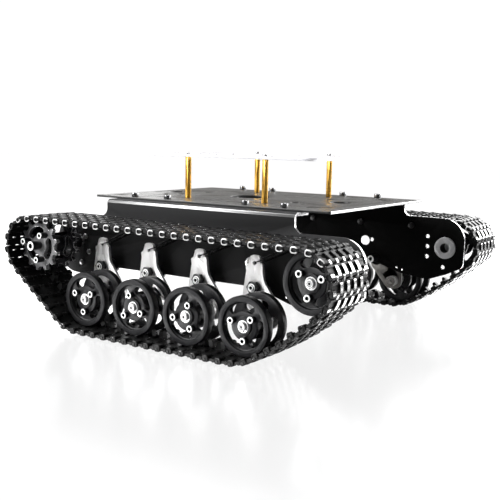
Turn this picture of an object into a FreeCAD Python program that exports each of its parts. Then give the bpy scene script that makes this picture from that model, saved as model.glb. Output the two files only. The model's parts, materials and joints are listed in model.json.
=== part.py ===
"""Tracked tank chassis: folded side plates, sprung bell-crank arms, twin-disc wheels, hinged steel tracks.

Frame: +X forward (towards the idlers), +Y to the left, +Z up, millimetres. The origin is on the ground,
under the middle of the vehicle. Every part of the right side is built, and the left side is its mirror.
"""
import FreeCAD, Part
import math
import os

Vector = FreeCAD.Vector
Rotation = FreeCAD.Rotation
ACROSS = Vector(0, 1, 0)
ARM_COUNT = 4

# ---------------------------------------------------------------- driving dimensions

DIMENSIONS = {
    # side plates: bent aluminium sheet
    "sheet_thickness": 2.5, "side_outer_face": 111.8, "flange_width": 24, "bend_radius": 4,
    "upper_front": 103, "upper_rear": -109.5, "tier_height": 101.8, "belly_height": 52,
    "tier_fillet": 8, "nose_radius": 27, "nose_end": 170.3, "tail_along": -148.5, "tail_height": 72.5,
    "tail_radius": 29.5, "pivot_lobe_radius": 8,
    # deck plate, clear plate and what joins them
    "deck_top": 120.2, "deck_thickness": 2, "deck_rear": -139.8, "deck_front": 128.1,
    "deck_half_width": 97, "deck_corner": 3, "clear_thickness": 2.5, "clear_length": 196,
    "clear_width": 132, "clear_corner": 12, "standoff_height": 40, "standoff_flats": 5.5,
    "standoff_rear": -50.4, "standoff_front": 39.2, "standoff_side": 60.5,
    "flange_screw_side": 92, "flange_screw_step": 40.8, "flange_head_radius": 3.5,
    "flange_head_height": 4, "flange_screw_radius": 2, "flange_nut_flats": 7, "nut_height": 3.2,
    # running gear
    "axle_height": 29.8, "axle_step": 58.8, "first_axle": -87.6, "wheel_radius": 24.9,
    "wheel_side": 150.3, "wheel_width": 28, "disc_thickness": 6, "web_thickness": 4,
    "hub_radius": 7.5, "bearing_radius": 5.25, "bearing_width": 4, "sleeve_radius": 8,
    "sleeve_bore": 3.2, "axle_radius": 2.5, "running_gap": 0.05, "face_gap": 0.3,
    "wheel_bolt_circle": 11.3, "bolt_head_radius": 2.9, "bolt_radius": 1.5, "bolt_head_height": 4.8,
    "bolt_socket_flats": 2.9, "bolt_socket_depth": 2.4, "bolt_nut_flats": 5.5,
    "window_inner": 12.2, "window_outer": 19.6, "window_half_angle": 33,
    "idler_along": 150, "idler_height": 71.9, "sprocket_along": -147.5, "sprocket_height": 74.8,
    "flange_disc_radius": 11, "flange_disc_thickness": 2.5, "flange_disc_bore": 4.8,
    # swing arms, their pivots and springs
    "arm_thickness": 3, "arm_outer_face": 125, "pivot_behind_axle": 15.5, "pivot_height": 54.7,
    "arm_lobe_radius": 10, "axle_lobe_radius": 9, "arm_head_along": 0.4, "arm_head_height": 27.2,
    "arm_bush_radius": 5.5, "arm_bush_length": 9.4, "arm_bush_bore": 2.8, "arm_bush_floor": 3,
    "pivot_nut_height": 4, "pivot_nut_flats": 10, "pivot_collar_radius": 3.8, "pivot_end": 6,
    "pivot_socket_radius": 1.4, "pivot_head_radius": 3.8, "pivot_head_length": 14,
    "hook_along": -0.5, "hook_height": 20.4, "hook_radius": 1.6,
    "anchor_along": 38.8, "anchor_height": 37.7, "anchor_radius": 1.5,
    "spring_radius": 2.6, "spring_wire": 0.9, "loop_radius": 4.2, "loop_wire": 0.45,
    # drive sprockets and gear motors
    "sprocket_teeth": 13, "sprocket_root": 20.6, "sprocket_tip": 24.6, "sprocket_gap": 21,
    "sprocket_disc": 4, "sprocket_bolt_circle": 13.8, "sprocket_head_height": 8,
    "sprocket_window_inner": 9.4, "sprocket_window_outer": 17.6, "sprocket_window_half_angle": 28,
    "cap_radius": 4.3, "cap_length": 10.5, "cap_socket_flats": 4.6, "cap_socket_depth": 3.5,
    "motor_behind_shaft": 1.5, "motor_below_shaft": 7, "motor_screw_circle": 15.5,
    "motor_screw_radius": 1.5, "motor_screw_head": 2.6, "motor_screw_head_height": 1.6,
    "gearbox_radius": 18.5, "gearbox_length": 26, "can_radius": 17.3, "can_length": 31,
    "encoder_length": 9, "bracket_thickness": 3, "bracket_length": 40, "bracket_height": 44,
    "bracket_depth": 30, "boss_radius": 6, "boss_reach": 3, "output_radius": 3,
    # tracks
    "track_side": 152.6, "track_width": 58.7, "link_pitch": 12.7, "knuckle_radius": 2.1,
    "pin_radius": 1, "pin_gap": 0.05, "track_bend": 27.2, "front_sag": 2.4, "tread_depth": 2.6,
    "finger_gap": 0.3,
    "web_setback": 2.6, "web_half_height": 1.3, "tread_bar": 3.6, "horn_width": 5,
    "horn_height": 8, "finger_count": 9,
}

doc = FreeCAD.newDocument("TrackedChassis")
sheet = doc.addObject("Spreadsheet::Sheet", "dims")
for row, (alias, number) in enumerate(DIMENSIONS.items(), start=1):
    sheet.set(f"A{row}", alias)
    sheet.set(f"B{row}", str(number))
    sheet.setAlias(f"B{row}", alias)
doc.recompute()


def size(alias):
    """A driving dimension, read back from the sheet."""
    return float(sheet.get(alias))


def cells(formula):
    """A formula in plain aliases, with each alias turned into a reference to the sheet."""
    words = formula.replace("(", "( ").replace(")", " )").split()
    return " ".join(f"dims.{word}" if word in DIMENSIONS else word for word in words)


def bind(thing, **formulas):
    """Bind properties of an object to formulas of the sheet's aliases."""
    for name, formula in formulas.items():
        thing.setExpression(name.replace("__", "."), cells(formula))
    return thing


def place(thing, x="0", y="0", z="0"):
    """Bind an object's position to formulas."""
    return bind(thing, Placement__Base__x=x, Placement__Base__y=y, Placement__Base__z=z)


# ---------------------------------------------------------------- small builders

def rod(name, radius, length, x="0", y="0", z="0"):
    """A round bar along +Y, from y onwards."""
    bar = doc.addObject("Part::Cylinder", name)
    bar.Placement.Rotation = Rotation(Vector(1, 0, 0), -90)
    return place(bind(bar, Radius=radius, Height=length), x, y, z)


def hexagon(name, flats, length, x="0", y="0", z="0", upright=False):
    """A six-sided bar along +Y, or along +Z when upright."""
    bar = doc.addObject("Part::Prism", name)
    bar.Polygon = 6
    if not upright:
        bar.Placement.Rotation = Rotation(Vector(1, 0, 0), -90)
    return place(bind(bar, Circumradius=f"{flats} / sqrt( 3 )", Height=length), x, y, z)


def upright_rod(name, radius, length, x="0", y="0", z="0"):
    """A round bar along +Z."""
    bar = doc.addObject("Part::Cylinder", name)
    return place(bind(bar, Radius=radius, Height=length), x, y, z)


def block(name, length, width, height, x="0", y="0", z="0"):
    """A box with its lowest corner at x, y, z."""
    return place(bind(doc.addObject("Part::Box", name), Length=length, Width=width, Height=height), x, y, z)


def ring(name, radius, wire, x="0", y="0", z="0"):
    """A torus lying flat."""
    return place(bind(doc.addObject("Part::Torus", name), Radius1=radius, Radius2=wire), x, y, z)


def cut(name, base, tool):
    result = doc.addObject("Part::Cut", name)
    result.Base, result.Tool = base, tool
    return result


def fuse(name, *pieces):
    result = doc.addObject("Part::MultiFuse", name)
    result.Shapes = list(pieces)
    return result


def group(name, *pieces):
    """Separate solids that share one node."""
    result = doc.addObject("Part::Compound", name)
    result.Links = list(pieces)
    return result


def tube(name, radius, bore, length, x="0", y="0", z="0"):
    return cut(name, rod(name + "_bar", radius, length, x, y, z), rod(name + "_bore", bore, length, x, y, z))


def body_plane(body, role):
    return next(feature for feature in body.Origin.OriginFeatures if feature.Role == role)


def sketch_on(body, role, name, wires, height=None):
    """A sketch holding closed outlines, on one of the body's planes or at a height above it."""
    sketch = body.newObject("Sketcher::SketchObject", name)
    sketch.AttachmentSupport = [(body_plane(body, role), "")]
    sketch.MapMode = "FlatFace"
    if height is not None:
        bind(sketch, AttachmentOffset__Base__z=height)
    for edges in wires:
        sketch.addGeometry(edges, False)
    return sketch


def circle(x, y, radius):
    return [Part.Circle(Vector(x, y, 0), Vector(0, 0, 1), radius)]


def rounded(corners):
    """A closed outline through (x, y, radius) corners, each rounded by a tangent arc."""
    points = [Vector(x, y, 0) for x, y, _ in corners]
    starts, ends, middles = [], [], []
    for index, (corner, (_, _, radius)) in enumerate(zip(points, corners)):
        back = (points[index - 1] - corner).normalize()
        onward = (points[(index + 1) % len(points)] - corner).normalize()
        half = back.getAngle(onward) / 2
        reach = radius / math.tan(half)
        bisector = (back + onward).normalize()
        starts.append(corner + back * reach)
        ends.append(corner + onward * reach)
        middles.append(corner + bisector * (radius / math.sin(half) - radius))
    edges = []
    for index in range(len(points)):
        if corners[index][2] > 0:
            edges.append(Part.Arc(starts[index], middles[index], ends[index]))
        edges.append(Part.LineSegment(ends[index], starts[(index + 1) % len(points)]))
    return edges


def slot(x, y, length, width, angle=0):
    """A straight slot with round ends, centred on x, y."""
    along = Vector(math.cos(math.radians(angle)), math.sin(math.radians(angle)), 0)
    aside = Vector(-along.y, along.x, 0)
    centre, reach, half = Vector(x, y, 0), (length - width) / 2, width / 2
    right, left = centre + along * reach, centre - along * reach
    return [
        Part.LineSegment(left - aside * half, right - aside * half),
        Part.Arc(right - aside * half, right + along * half, right + aside * half),
        Part.LineSegment(right + aside * half, left + aside * half),
        Part.Arc(left + aside * half, left - along * half, left - aside * half),
    ]


def kidney(inner, outer, middle_angle, half_angle):
    """A curved window between two radii, with round ends."""
    def at(radius, angle):
        return Vector(radius * math.cos(math.radians(angle)), radius * math.sin(math.radians(angle)), 0)
    low, high = middle_angle - half_angle, middle_angle + half_angle
    middle_radius = (inner + outer) / 2
    overhang = math.degrees((outer - inner) / 2 / middle_radius)
    return [
        Part.Arc(at(outer, low), at(outer, middle_angle), at(outer, high)),
        Part.Arc(at(outer, high), at(middle_radius, high + overhang), at(inner, high)),
        Part.Arc(at(inner, high), at(inner, middle_angle), at(inner, low)),
        Part.Arc(at(inner, low), at(middle_radius, low - overhang), at(outer, low)),
    ]


def new_body(name):
    body = doc.addObject("PartDesign::Body", name)
    doc.recompute()
    return body


def pad(body, sketch, length, reverse=False):
    feature = bind(body.newObject("PartDesign::Pad", sketch.Name + "_pad"), Length=length)
    feature.Profile = sketch
    feature.Reversed = reverse
    doc.recompute()
    return feature


def pocket_through(body, sketch):
    """Cut the sketch's outlines all the way through, and make sure that material went."""
    before = body.Shape.Volume
    feature = body.newObject("PartDesign::Pocket", sketch.Name + "_pocket")
    feature.Profile = sketch
    feature.Type = "ThroughAll"
    feature.Midplane = True
    doc.recompute()
    if not body.Shape.Volume < before:
        raise RuntimeError(f"{feature.Name} cut nothing")
    return feature


def revolve(body, sketch):
    feature = body.newObject("PartDesign::Revolution", sketch.Name + "_turn")
    feature.Profile = sketch
    feature.ReferenceAxis = (sketch, ["V_Axis"])
    feature.Angle = 360
    doc.recompute()
    return feature


# ---------------------------------------------------------------- places used by several parts

AXLES = [size("first_axle") + index * size("axle_step") for index in range(ARM_COUNT)]
PIVOTS = [axle - size("pivot_behind_axle") for axle in AXLES]
ANCHOR_HEIGHT = size("pivot_height") + size("anchor_height")
NOSE = (size("idler_along"), size("idler_height"))
DRIVE = (size("sprocket_along"), size("sprocket_height"))
MOTOR = (DRIVE[0] - size("motor_behind_shaft"), DRIVE[1] - size("motor_below_shaft"))
MOTOR_SCREW_START = 48
FLANGE_SCREWS = [
    size("standoff_rear") - size("flange_screw_step"), size("standoff_rear"),
    size("standoff_front"), size("standoff_front") + size("flange_screw_step"),
]
SMALL_HOLE = 1.6
MEDIUM_HOLE = 2.1
LOOP_GAP = 0.15
LOOP_GRIP = 0.2
NECK_LENGTH = 2.6
TAIL_LENGTH = 1.6


def on_circle(radius, count, start=0.0):
    """Points evenly spaced round a circle."""
    for index in range(count):
        angle = math.radians(start) + 2 * math.pi * index / count
        yield radius * math.cos(angle), radius * math.sin(angle)


# ---------------------------------------------------------------- side plate

def side_plate():
    body = new_body("right_side_plate")
    front, rear = size("upper_front"), size("upper_rear")
    tier, belly = size("tier_height"), size("belly_height")
    top = size("deck_top") - size("deck_thickness")
    nose_end, nose_r = size("nose_end"), size("nose_radius")
    tail_x, tail_z, tail_r = size("tail_along"), size("tail_height"), size("tail_radius")
    fillet = size("tier_fillet")
    outline = rounded([
        (rear, top, 0), (rear, tier, fillet), (tail_x - tail_r, tier, tail_r - 1),
        (tail_x - tail_r, tail_z - tail_r, tail_r - 3), (tail_x + 10, tail_z - tail_r - 1.5, 14),
        (-110, belly, 12), (66, belly, 30), (100, 41.2, 22), (132, 37.2, 12), (152, 44.6, 8),
        (nose_end - 1, 53, 8), (nose_end, tier, nose_r - 4), (front, tier, fillet), (front, top, 0),
    ])
    pad(body, sketch_on(body, "XZ_Plane", "plate_outline", [outline]), "sheet_thickness")
    bind(body, Placement__Base__y="sheet_thickness - side_outer_face")
    flange = rounded([
        (rear, 0, 0), (front, 0, 0), (front, size("flange_width"), 2), (rear, size("flange_width"), 2),
    ])
    flange_sketch = sketch_on(
        body, "XY_Plane", "flange_outline", [flange], "deck_top - deck_thickness - sheet_thickness")
    bind(flange_sketch, AttachmentOffset__Base__y="0 - sheet_thickness")
    pad(body, flange_sketch, "sheet_thickness")
    holes = [
        circle(MOTOR[0] + x, MOTOR[1] + z, SMALL_HOLE)
        for x, z in on_circle(size("motor_screw_circle"), 6, MOTOR_SCREW_START)]
    holes += [circle(*DRIVE, size("boss_radius") + 0.4)]
    holes += [slot(NOSE[0], NOSE[1], 20, 2 * size("axle_radius") + 8, 0)]
    holes += [circle(130.4, NOSE[1] + 10.5 * step, MEDIUM_HOLE) for step in (-1, 0, 1)]
    holes += [circle(148, 51.7, MEDIUM_HOLE), circle(59.4, 72.3, 5.2), circle(67.2, 73.8, 2.1)]
    holes += [circle(97.4, 46.9, 1.4), circle(103.8, 44.9, 1.2)]
    holes += [circle(pivot, size("pivot_height"), size("axle_radius")) for pivot in PIVOTS]
    holes += [circle(pivot + size("anchor_along"), ANCHOR_HEIGHT, size("anchor_radius")) for pivot in PIVOTS]
    pocket_through(body, sketch_on(body, "XZ_Plane", "plate_holes", holes))
    screws = [
        circle(x, size("side_outer_face") - size("sheet_thickness") - size("flange_screw_side"), MEDIUM_HOLE)
        for x in FLANGE_SCREWS]
    pocket_through(body, sketch_on(body, "XY_Plane", "flange_holes", screws))
    lobes = [circle(pivot, size("pivot_height"), size("pivot_lobe_radius")) for pivot in PIVOTS]
    pad(body, sketch_on(body, "XZ_Plane", "pivot_lobes", lobes), "sheet_thickness")
    bores = [circle(pivot, size("pivot_height"), size("axle_radius")) for pivot in PIVOTS]
    pocket_through(body, sketch_on(body, "XZ_Plane", "pivot_bores", bores))
    flat = body.Tip
    outer = -size("sheet_thickness")
    edges = [
        f"Edge{index + 1}" for index, edge in enumerate(flat.Shape.Edges)
        if edge.Length > 0.8 * (front - rear) and abs(edge.CenterOfMass.z - top) < 0.01
        and abs(edge.CenterOfMass.y - outer) < 0.01
    ]
    fillet_feature = body.newObject("PartDesign::Fillet", "bend")
    fillet_feature.Base = (flat, edges)
    bind(fillet_feature, Radius="bend_radius")
    doc.recompute()
    return body


# ---------------------------------------------------------------- deck plate and clear plate

def deck():
    body = new_body("top_plate")
    rear, front, half, corner = (size(a) for a in ("deck_rear", "deck_front", "deck_half_width", "deck_corner"))
    outline = rounded([(rear, -half, corner), (front, -half, corner), (front, half, corner), (rear, half, corner)])
    pad(body, sketch_on(body, "XY_Plane", "deck_outline", [outline]), "deck_thickness")
    bind(body, Placement__Base__z="deck_top - deck_thickness")
    side = size("flange_screw_side")
    cuts = [circle(x, y, MEDIUM_HOLE) for x in FLANGE_SCREWS for y in (-side, side)]
    cuts += [
        circle(x, y, SMALL_HOLE) for x in (size("standoff_rear"), size("standoff_front"))
        for y in (-size("standoff_side"), size("standoff_side"))]
    cuts += [circle(-18, 0, 20), circle(-112, 0, 10), circle(-88, 22, 5), circle(-88, -22, 5)]
    cuts += [circle(86, 0, 10), circle(57, 34, 5), circle(57, -34, 5), slot(-131, 0, 34, 5, 90)]
    cuts += [slot(100, 64 * sign, 27, 4.5, -47 * sign) for sign in (-1, 1)]
    cuts += [slot(12, 40 * sign, 30, 4) for sign in (-1, 1)]
    cuts += [circle(x, y, SMALL_HOLE) for x in (-125, 116) for y in (-84, 84)]
    cuts += [circle(x, y, SMALL_HOLE) for x in (-47, 11) for y in (-24.5, 24.5)]
    cuts += [circle(x, y, SMALL_HOLE) for x in (-92, -72, 30, 70) for y in (-46, 46)]
    cuts += [circle(x, y, 1.1) for x in (-78, -30, -14, 8, 22, 60) for y in (-74, 74)]
    pocket_through(body, sketch_on(body, "XY_Plane", "deck_cuts", cuts))
    return body


def clear_plate():
    body = new_body("clear_deck")
    middle = (size("standoff_rear") + size("standoff_front")) / 2
    length, width, corner = size("clear_length") / 2, size("clear_width") / 2, size("clear_corner")
    outline = rounded([
        (middle - length, -width, corner), (middle + length, -width, corner),
        (middle + length, width, corner), (middle - length, width, corner)])
    pad(body, sketch_on(body, "XY_Plane", "clear_outline", [outline]), "clear_thickness")
    bind(body, Placement__Base__z="deck_top + standoff_height")
    holes = [
        circle(x, y, SMALL_HOLE) for x in (size("standoff_rear"), size("standoff_front"))
        for y in (-size("standoff_side"), size("standoff_side"))]
    holes += [circle(middle + x, y, SMALL_HOLE) for x in (-29, 29) for y in (-24.5, 24.5)]
    holes += [slot(middle + x, y, 30, 3.2) for x in (-70, 70) for y in (-30, 0, 30)]
    holes += [slot(middle, 0, 36, 12)]
    pocket_through(body, sketch_on(body, "XY_Plane", "clear_holes", holes))
    return body


def standoffs():
    posts = []
    for along in ("rear", "front"):
        for number, sign in enumerate(("-", "")):
            posts.append(hexagon(
                f"standoff_{along}_{number}", "standoff_flats", "standoff_height", f"standoff_{along}",
                f"{sign} standoff_side", "deck_top", upright=True))
    return group("brass_standoffs", *posts)


def socket_screw(name, head, head_height, shank, shank_length, x, y, z):
    """A socket-head screw standing on z with its shank pointing down."""
    solid = fuse(
        name + "_screw", upright_rod(name + "_head", head, head_height, x, y, z),
        upright_rod(name + "_shank", shank, shank_length, x, y, f"{z} - {shank_length}"))
    socket = hexagon(name + "_socket", f"( {head} )", f"{head_height} * 0.6", x, y,
                     f"{z} + {head_height} * 0.4", upright=True)
    return cut(name, solid, socket)


def deck_screws():
    """Screws that hold the clear plate to the standoffs, from above, and the standoffs to the deck, from below."""
    screws = []
    for along in ("rear", "front"):
        for number, sign in enumerate(("-", "")):
            x, y = f"standoff_{along}", f"{sign} standoff_side"
            name = f"standoff_screw_{along}_{number}"
            screws.append(socket_screw(
                name, "2.75", "1.9", "1.5", "clear_thickness", x, y,
                "deck_top + standoff_height + clear_thickness"))
            screws.append(fuse(
                name + "_under",
                upright_rod(name + "_under_head", "2.75", "1.9", x, y, "deck_top - deck_thickness - 1.9"),
                upright_rod(name + "_under_shank", "1.5", "deck_thickness", x, y, "deck_top - deck_thickness")))
    return group("deck_screws", *screws)


def flange_screws():
    """Socket-head screws through the deck and the side plates' flanges, each with a nut below."""
    screws = []
    nut_base = "deck_top - deck_thickness - sheet_thickness - nut_height"
    positions = ["standoff_rear - flange_screw_step", "standoff_rear",
                 "standoff_front", "standoff_front + flange_screw_step"]
    for number, x in enumerate(positions):
        for sign in ("-", ""):
            y = f"{sign} flange_screw_side"
            name = f"flange_screw_{number}_{'right' if sign else 'left'}"
            screws.append(socket_screw(
                name, "flange_head_radius", "flange_head_height", "flange_screw_radius", "9", x, y, "deck_top"))
            nut = hexagon(name + "_nut_blank", "flange_nut_flats", "nut_height", x, y, nut_base, upright=True)
            bore = upright_rod(name + "_nut_bore", "flange_screw_radius", "nut_height", x, y, nut_base)
            screws.append(cut(name + "_nut", nut, bore))
    return group("flange_screws", *screws)


# ---------------------------------------------------------------- road wheels and idlers

def wheel_disc():
    """The outer half of a wheel: rim, recessed web with three windows, and bearing boss."""
    body = new_body("wheel_disc")
    rim, half, disc = size("wheel_radius"), size("wheel_width") / 2, size("disc_thickness")
    hub, bore, bearing = size("hub_radius"), size("sleeve_bore"), size("bearing_radius")
    step = size("window_outer")
    web_face = -half + disc - size("web_thickness")
    chamfer = 0.6
    profile = rounded([
        (rim, -half + chamfer, 0), (rim, -half + disc, 0), (bore, -half + disc, 0),
        (bore, -half + 0.5 + size("bearing_width"), 0), (bearing, -half + 0.5 + size("bearing_width"), 0),
        (bearing, -half + 0.5, 0), (hub, -half + 0.5, 0), (hub, web_face, 0.4), (step, web_face, 0.8),
        (step + chamfer, -half, 0), (rim - chamfer, -half, 0),
    ])
    revolve(body, sketch_on(body, "XY_Plane", "disc_section", [profile]))
    windows = [
        kidney(size("window_inner"), size("window_outer") - 0.4, angle, size("window_half_angle"))
        for angle in (30, 150, 270)]
    bolts = [circle(x, z, size("bolt_radius")) for x, z in on_circle(size("wheel_bolt_circle"), 3, 90)]
    pocket_through(body, sketch_on(body, "XZ_Plane", "disc_windows", windows + bolts))
    return body


def mirrored(name, source):
    copy = doc.addObject("Part::Mirroring", name)
    copy.Source = source
    copy.Normal = ACROSS
    return copy


def wheel_bolts(name, circle_alias, face, head_height, length, nut_at):
    """Three long bolts through both discs: heads outside, nuts inside."""
    pieces = []
    for number, angle in enumerate((90, 210, 330)):
        x = f"{circle_alias} * cos( {angle} deg )"
        z = f"{circle_alias} * sin( {angle} deg )"
        label = f"{name}_{number}"
        solid = fuse(label + "_solid", rod(label + "_head", "bolt_head_radius", head_height, x, face, z),
                     rod(label + "_shank", "bolt_radius", length, x, f"{face} + {head_height}", z))
        socket = hexagon(label + "_socket", "bolt_socket_flats", "bolt_socket_depth", x, face, z)
        pieces.append(cut(label, solid, socket))
        nut = hexagon(label + "_nut_blank", "bolt_nut_flats", "nut_height", x, nut_at, z)
        bore = rod(label + "_nut_bore", "bolt_radius", "nut_height", x, nut_at, z)
        pieces.append(cut(label + "_nut", nut, bore))
    return pieces


def wheel_parts():
    outer = wheel_disc()
    inner = mirrored("wheel_inner_disc", outer)
    sleeve = tube("wheel_sleeve", "sleeve_radius", "sleeve_bore", "wheel_width - 2 * disc_thickness",
                  y="disc_thickness - wheel_width / 2")
    web = "disc_thickness - web_thickness - wheel_width / 2"
    hardware = wheel_bolts("wheel_bolt", "wheel_bolt_circle", f"{web} - bolt_head_height", "bolt_head_height",
                           "wheel_width - 2 * disc_thickness + 2 * web_thickness + nut_height",
                           "wheel_width / 2 - disc_thickness + web_thickness")
    for number, y in enumerate(("0.5 - wheel_width / 2", "wheel_width / 2 - 0.5 - bearing_width")):
        hardware.append(tube(f"wheel_bearing_{number}", "bearing_radius", "axle_radius + running_gap",
                             "bearing_width", y=y))
    return [outer, inner, sleeve], hardware


# ---------------------------------------------------------------- swing arm

def arm_plate():
    """The bell crank: pivot lobe at the origin, spring hook above it, wheel axle forward and below."""
    body = new_body("arm_plate")
    along, drop = size("pivot_behind_axle"), size("axle_height") - size("pivot_height")
    lobe, foot = size("arm_lobe_radius"), size("axle_lobe_radius")
    head_x, head_z = size("arm_head_along"), size("arm_head_height")
    outline = rounded([
        (-lobe - 2.6, -lobe, lobe - 2), (-lobe + 0.9, head_z - 14, 4), (-lobe + 0.3, head_z - 9.5, 0.8),
        (-lobe + 3, head_z - 7.4, 1), (head_x - 5.2, head_z, 3.4), (head_x + 4.4, head_z - 0.4, 3.4),
        (head_x + 4.8, head_z - 6, 0.5), (head_x + 7, head_z - 7.2, 1.2),
        (lobe - 1, 6, 12), (along + foot - 0.5, drop + foot + 2, 6), (along + foot, drop - foot, foot - 0.5),
        (along - foot + 1, drop - foot, foot - 2.5),
    ])
    pad(body, sketch_on(body, "XZ_Plane", "arm_outline", [outline]), "arm_thickness")
    holes = [
        circle(0, 0, size("axle_radius") + size("running_gap")),
        circle(along, drop, size("axle_radius")),
        circle(size("hook_along"), size("hook_height"), size("hook_radius")),
    ]
    pocket_through(body, sketch_on(body, "XZ_Plane", "arm_holes", holes))
    return body


def wheel_axle():
    """A fixed axle in the arm: a bush behind it, a shoulder before the wheel and a button at its end."""
    to_wheel = "arm_outer_face - wheel_side"
    shaft = rod("axle_shaft", "axle_radius", "wheel_width / 2 + face_gap - ( " + to_wheel + " ) + arm_thickness",
                "pivot_behind_axle", to_wheel + " - wheel_width / 2 - face_gap", "axle_height - pivot_height")
    shoulder = rod("axle_shoulder", "bearing_radius",
                   "wheel_side - arm_outer_face - wheel_width / 2 - 0.4",
                   "pivot_behind_axle", to_wheel + " + wheel_width / 2 + 0.4", "axle_height - pivot_height")
    button = rod("axle_button", "3.4", "1.6", "pivot_behind_axle",
                 to_wheel + " - wheel_width / 2 - face_gap - 1.6", "axle_height - pivot_height")
    bush = rod("axle_bush", "arm_bush_radius", "arm_bush_length", "pivot_behind_axle", "arm_thickness",
               "axle_height - pivot_height")
    bore = rod("axle_bush_bore", "arm_bush_bore", "arm_bush_length", "pivot_behind_axle",
               "arm_thickness + arm_bush_floor", "axle_height - pivot_height")
    return cut("wheel_axle", fuse("wheel_axle_solid", shaft, shoulder, button, bush), bore)


# ---------------------------------------------------------------- pivots, spring anchors and springs

def arm_pivots():
    """For each arm: a bush against the side plate, and a bolt with its head inside and a lock nut outside."""
    pieces = []
    for number in range(ARM_COUNT):
        x, z = f"first_axle + {number} * axle_step - pivot_behind_axle", "pivot_height"
        name = f"pivot_{number}"
        inner_face = "side_outer_face - sheet_thickness"
        bush_end = "arm_outer_face - arm_thickness - face_gap"
        pieces.append(tube(name + "_bush", "6", "axle_radius", f"{bush_end} - side_outer_face",
                           x, f"0 - ( {bush_end} )", z))
        bolt = fuse(
            name + "_bolt_solid",
            rod(name + "_shank", "axle_radius", f"arm_outer_face + pivot_end - ( {inner_face} )",
                x, "- arm_outer_face - pivot_end", z),
            rod(name + "_head", "pivot_head_radius", "pivot_head_length", x, f"0 - ( {inner_face} )", z))
        sockets = fuse(
            name + "_sockets",
            rod(name + "_end_socket", "pivot_socket_radius", "2", x, "- arm_outer_face - pivot_end", z),
            hexagon(name + "_head_socket", "pivot_head_radius", "3",
                    x, f"pivot_head_length - 3 - ( {inner_face} )", z))
        pieces.append(cut(name + "_bolt", bolt, sockets))
        nut_start = "- arm_outer_face - face_gap - pivot_nut_height"
        nut = fuse(name + "_nut_body",
                   hexagon(name + "_nut_hex", "pivot_nut_flats", "pivot_nut_height", x, nut_start, z),
                   rod(name + "_nut_collar", "pivot_collar_radius", "pivot_nut_height",
                       x, nut_start + " - 0.9", z))
        pieces.append(cut(name + "_nut", nut, rod(
            name + "_nut_bore", "axle_radius", "pivot_nut_height + 2", x, nut_start + " - 1", z)))
    return group("right_pivots", *pieces)


def spring_anchors():
    """Shouldered screws in the side plate that hold the springs' front loops."""
    pieces = []
    for number in range(ARM_COUNT):
        x = f"first_axle + {number} * axle_step - pivot_behind_axle + anchor_along"
        z = "pivot_height + anchor_height"
        name = f"anchor_{number}"
        inner_face = "side_outer_face - sheet_thickness"
        pieces.append(fuse(
            name,
            rod(name + "_shank", "anchor_radius", f"arm_outer_face + 1.2 - ( {inner_face} )",
                x, "- arm_outer_face - 1.2", z),
            rod(name + "_shoulder", "3", "arm_outer_face - arm_thickness - 0.8 - side_outer_face",
                x, "- arm_outer_face + arm_thickness + 0.8", z),
            rod(name + "_head", "2.8", "1.6", x, "- arm_outer_face - 2.8", z),
            rod(name + "_nut", "3.2", "2.4", x, f"0 - ( {inner_face} )", z)))
    return group("right_anchors", *pieces)


def spring():
    """A close-wound extension spring, with a loop through the arm and a loop round the anchor.

    It is built along +X from the arm's hook, and turned to point at the anchor.
    """
    reach_x = size("anchor_along") - size("hook_along")
    reach_z = size("anchor_height") - size("hook_height")
    rise = math.degrees(math.atan2(reach_z, reach_x))
    reach = math.hypot(reach_x, reach_z)
    anchor_loop = size("anchor_radius") + size("loop_wire") + LOOP_GAP
    neck_start = 2 * size("loop_radius") - LOOP_GRIP
    coil_start = 2 * size("loop_radius") + NECK_LENGTH
    coil_end = reach - anchor_loop - TAIL_LENGTH
    turns = int((coil_end - coil_start) / size("spring_wire"))
    wire = (coil_end - coil_start) / turns
    crest = size("spring_radius")
    valley = crest - wire / 2
    hook_loop = ring("spring_hook_loop", "loop_radius", "loop_wire", "loop_radius")
    front_loop = doc.addObject("Part::Torus", "spring_front_loop")
    bind(front_loop, Radius1=str(anchor_loop), Radius2="loop_wire")
    front_loop.Placement = FreeCAD.Placement(Vector(reach, 0, 0), Rotation(Vector(1, 0, 0), 90))
    neck = doc.addObject("Part::Cylinder", "spring_neck")
    bind(neck, Radius="0.8 * loop_wire", Height=str(coil_start - neck_start + LOOP_GRIP))
    neck.Placement = FreeCAD.Placement(Vector(neck_start, 0, 0), Rotation(ACROSS, 90))
    tail = doc.addObject("Part::Cylinder", "spring_tail")
    bind(tail, Radius="0.8 * loop_wire", Height=str(reach - anchor_loop - coil_end + 2 * LOOP_GRIP))
    tail.Placement = FreeCAD.Placement(Vector(coil_end - LOOP_GRIP, 0, 0), Rotation(ACROSS, 90))
    corners = [Vector(coil_start, 0, 0), Vector(coil_start, valley, 0)]
    for turn in range(turns):
        left = coil_start + turn * wire
        corners += [
            Vector(left + wire / 4, crest, 0), Vector(left + 3 * wire / 4, crest, 0), Vector(left + wire, valley, 0)]
    corners.append(Vector(coil_end, 0, 0))
    outline = [Part.LineSegment(start, end) for start, end in zip(corners, corners[1:] + corners[:1])]
    body = new_body("spring_coil")
    sketch = sketch_on(body, "XY_Plane", "coil_section", [outline])
    feature = body.newObject("PartDesign::Revolution", "coil_turn")
    feature.Profile = sketch
    feature.ReferenceAxis = (sketch, ["H_Axis"])
    feature.Angle = 360
    doc.recompute()
    whole = fuse("spring", hook_loop, neck, body, tail, front_loop)
    whole.Placement.Rotation = Rotation(ACROSS, -rise)
    return whole


# ---------------------------------------------------------------- drive: sprocket, motor and bracket

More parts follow.
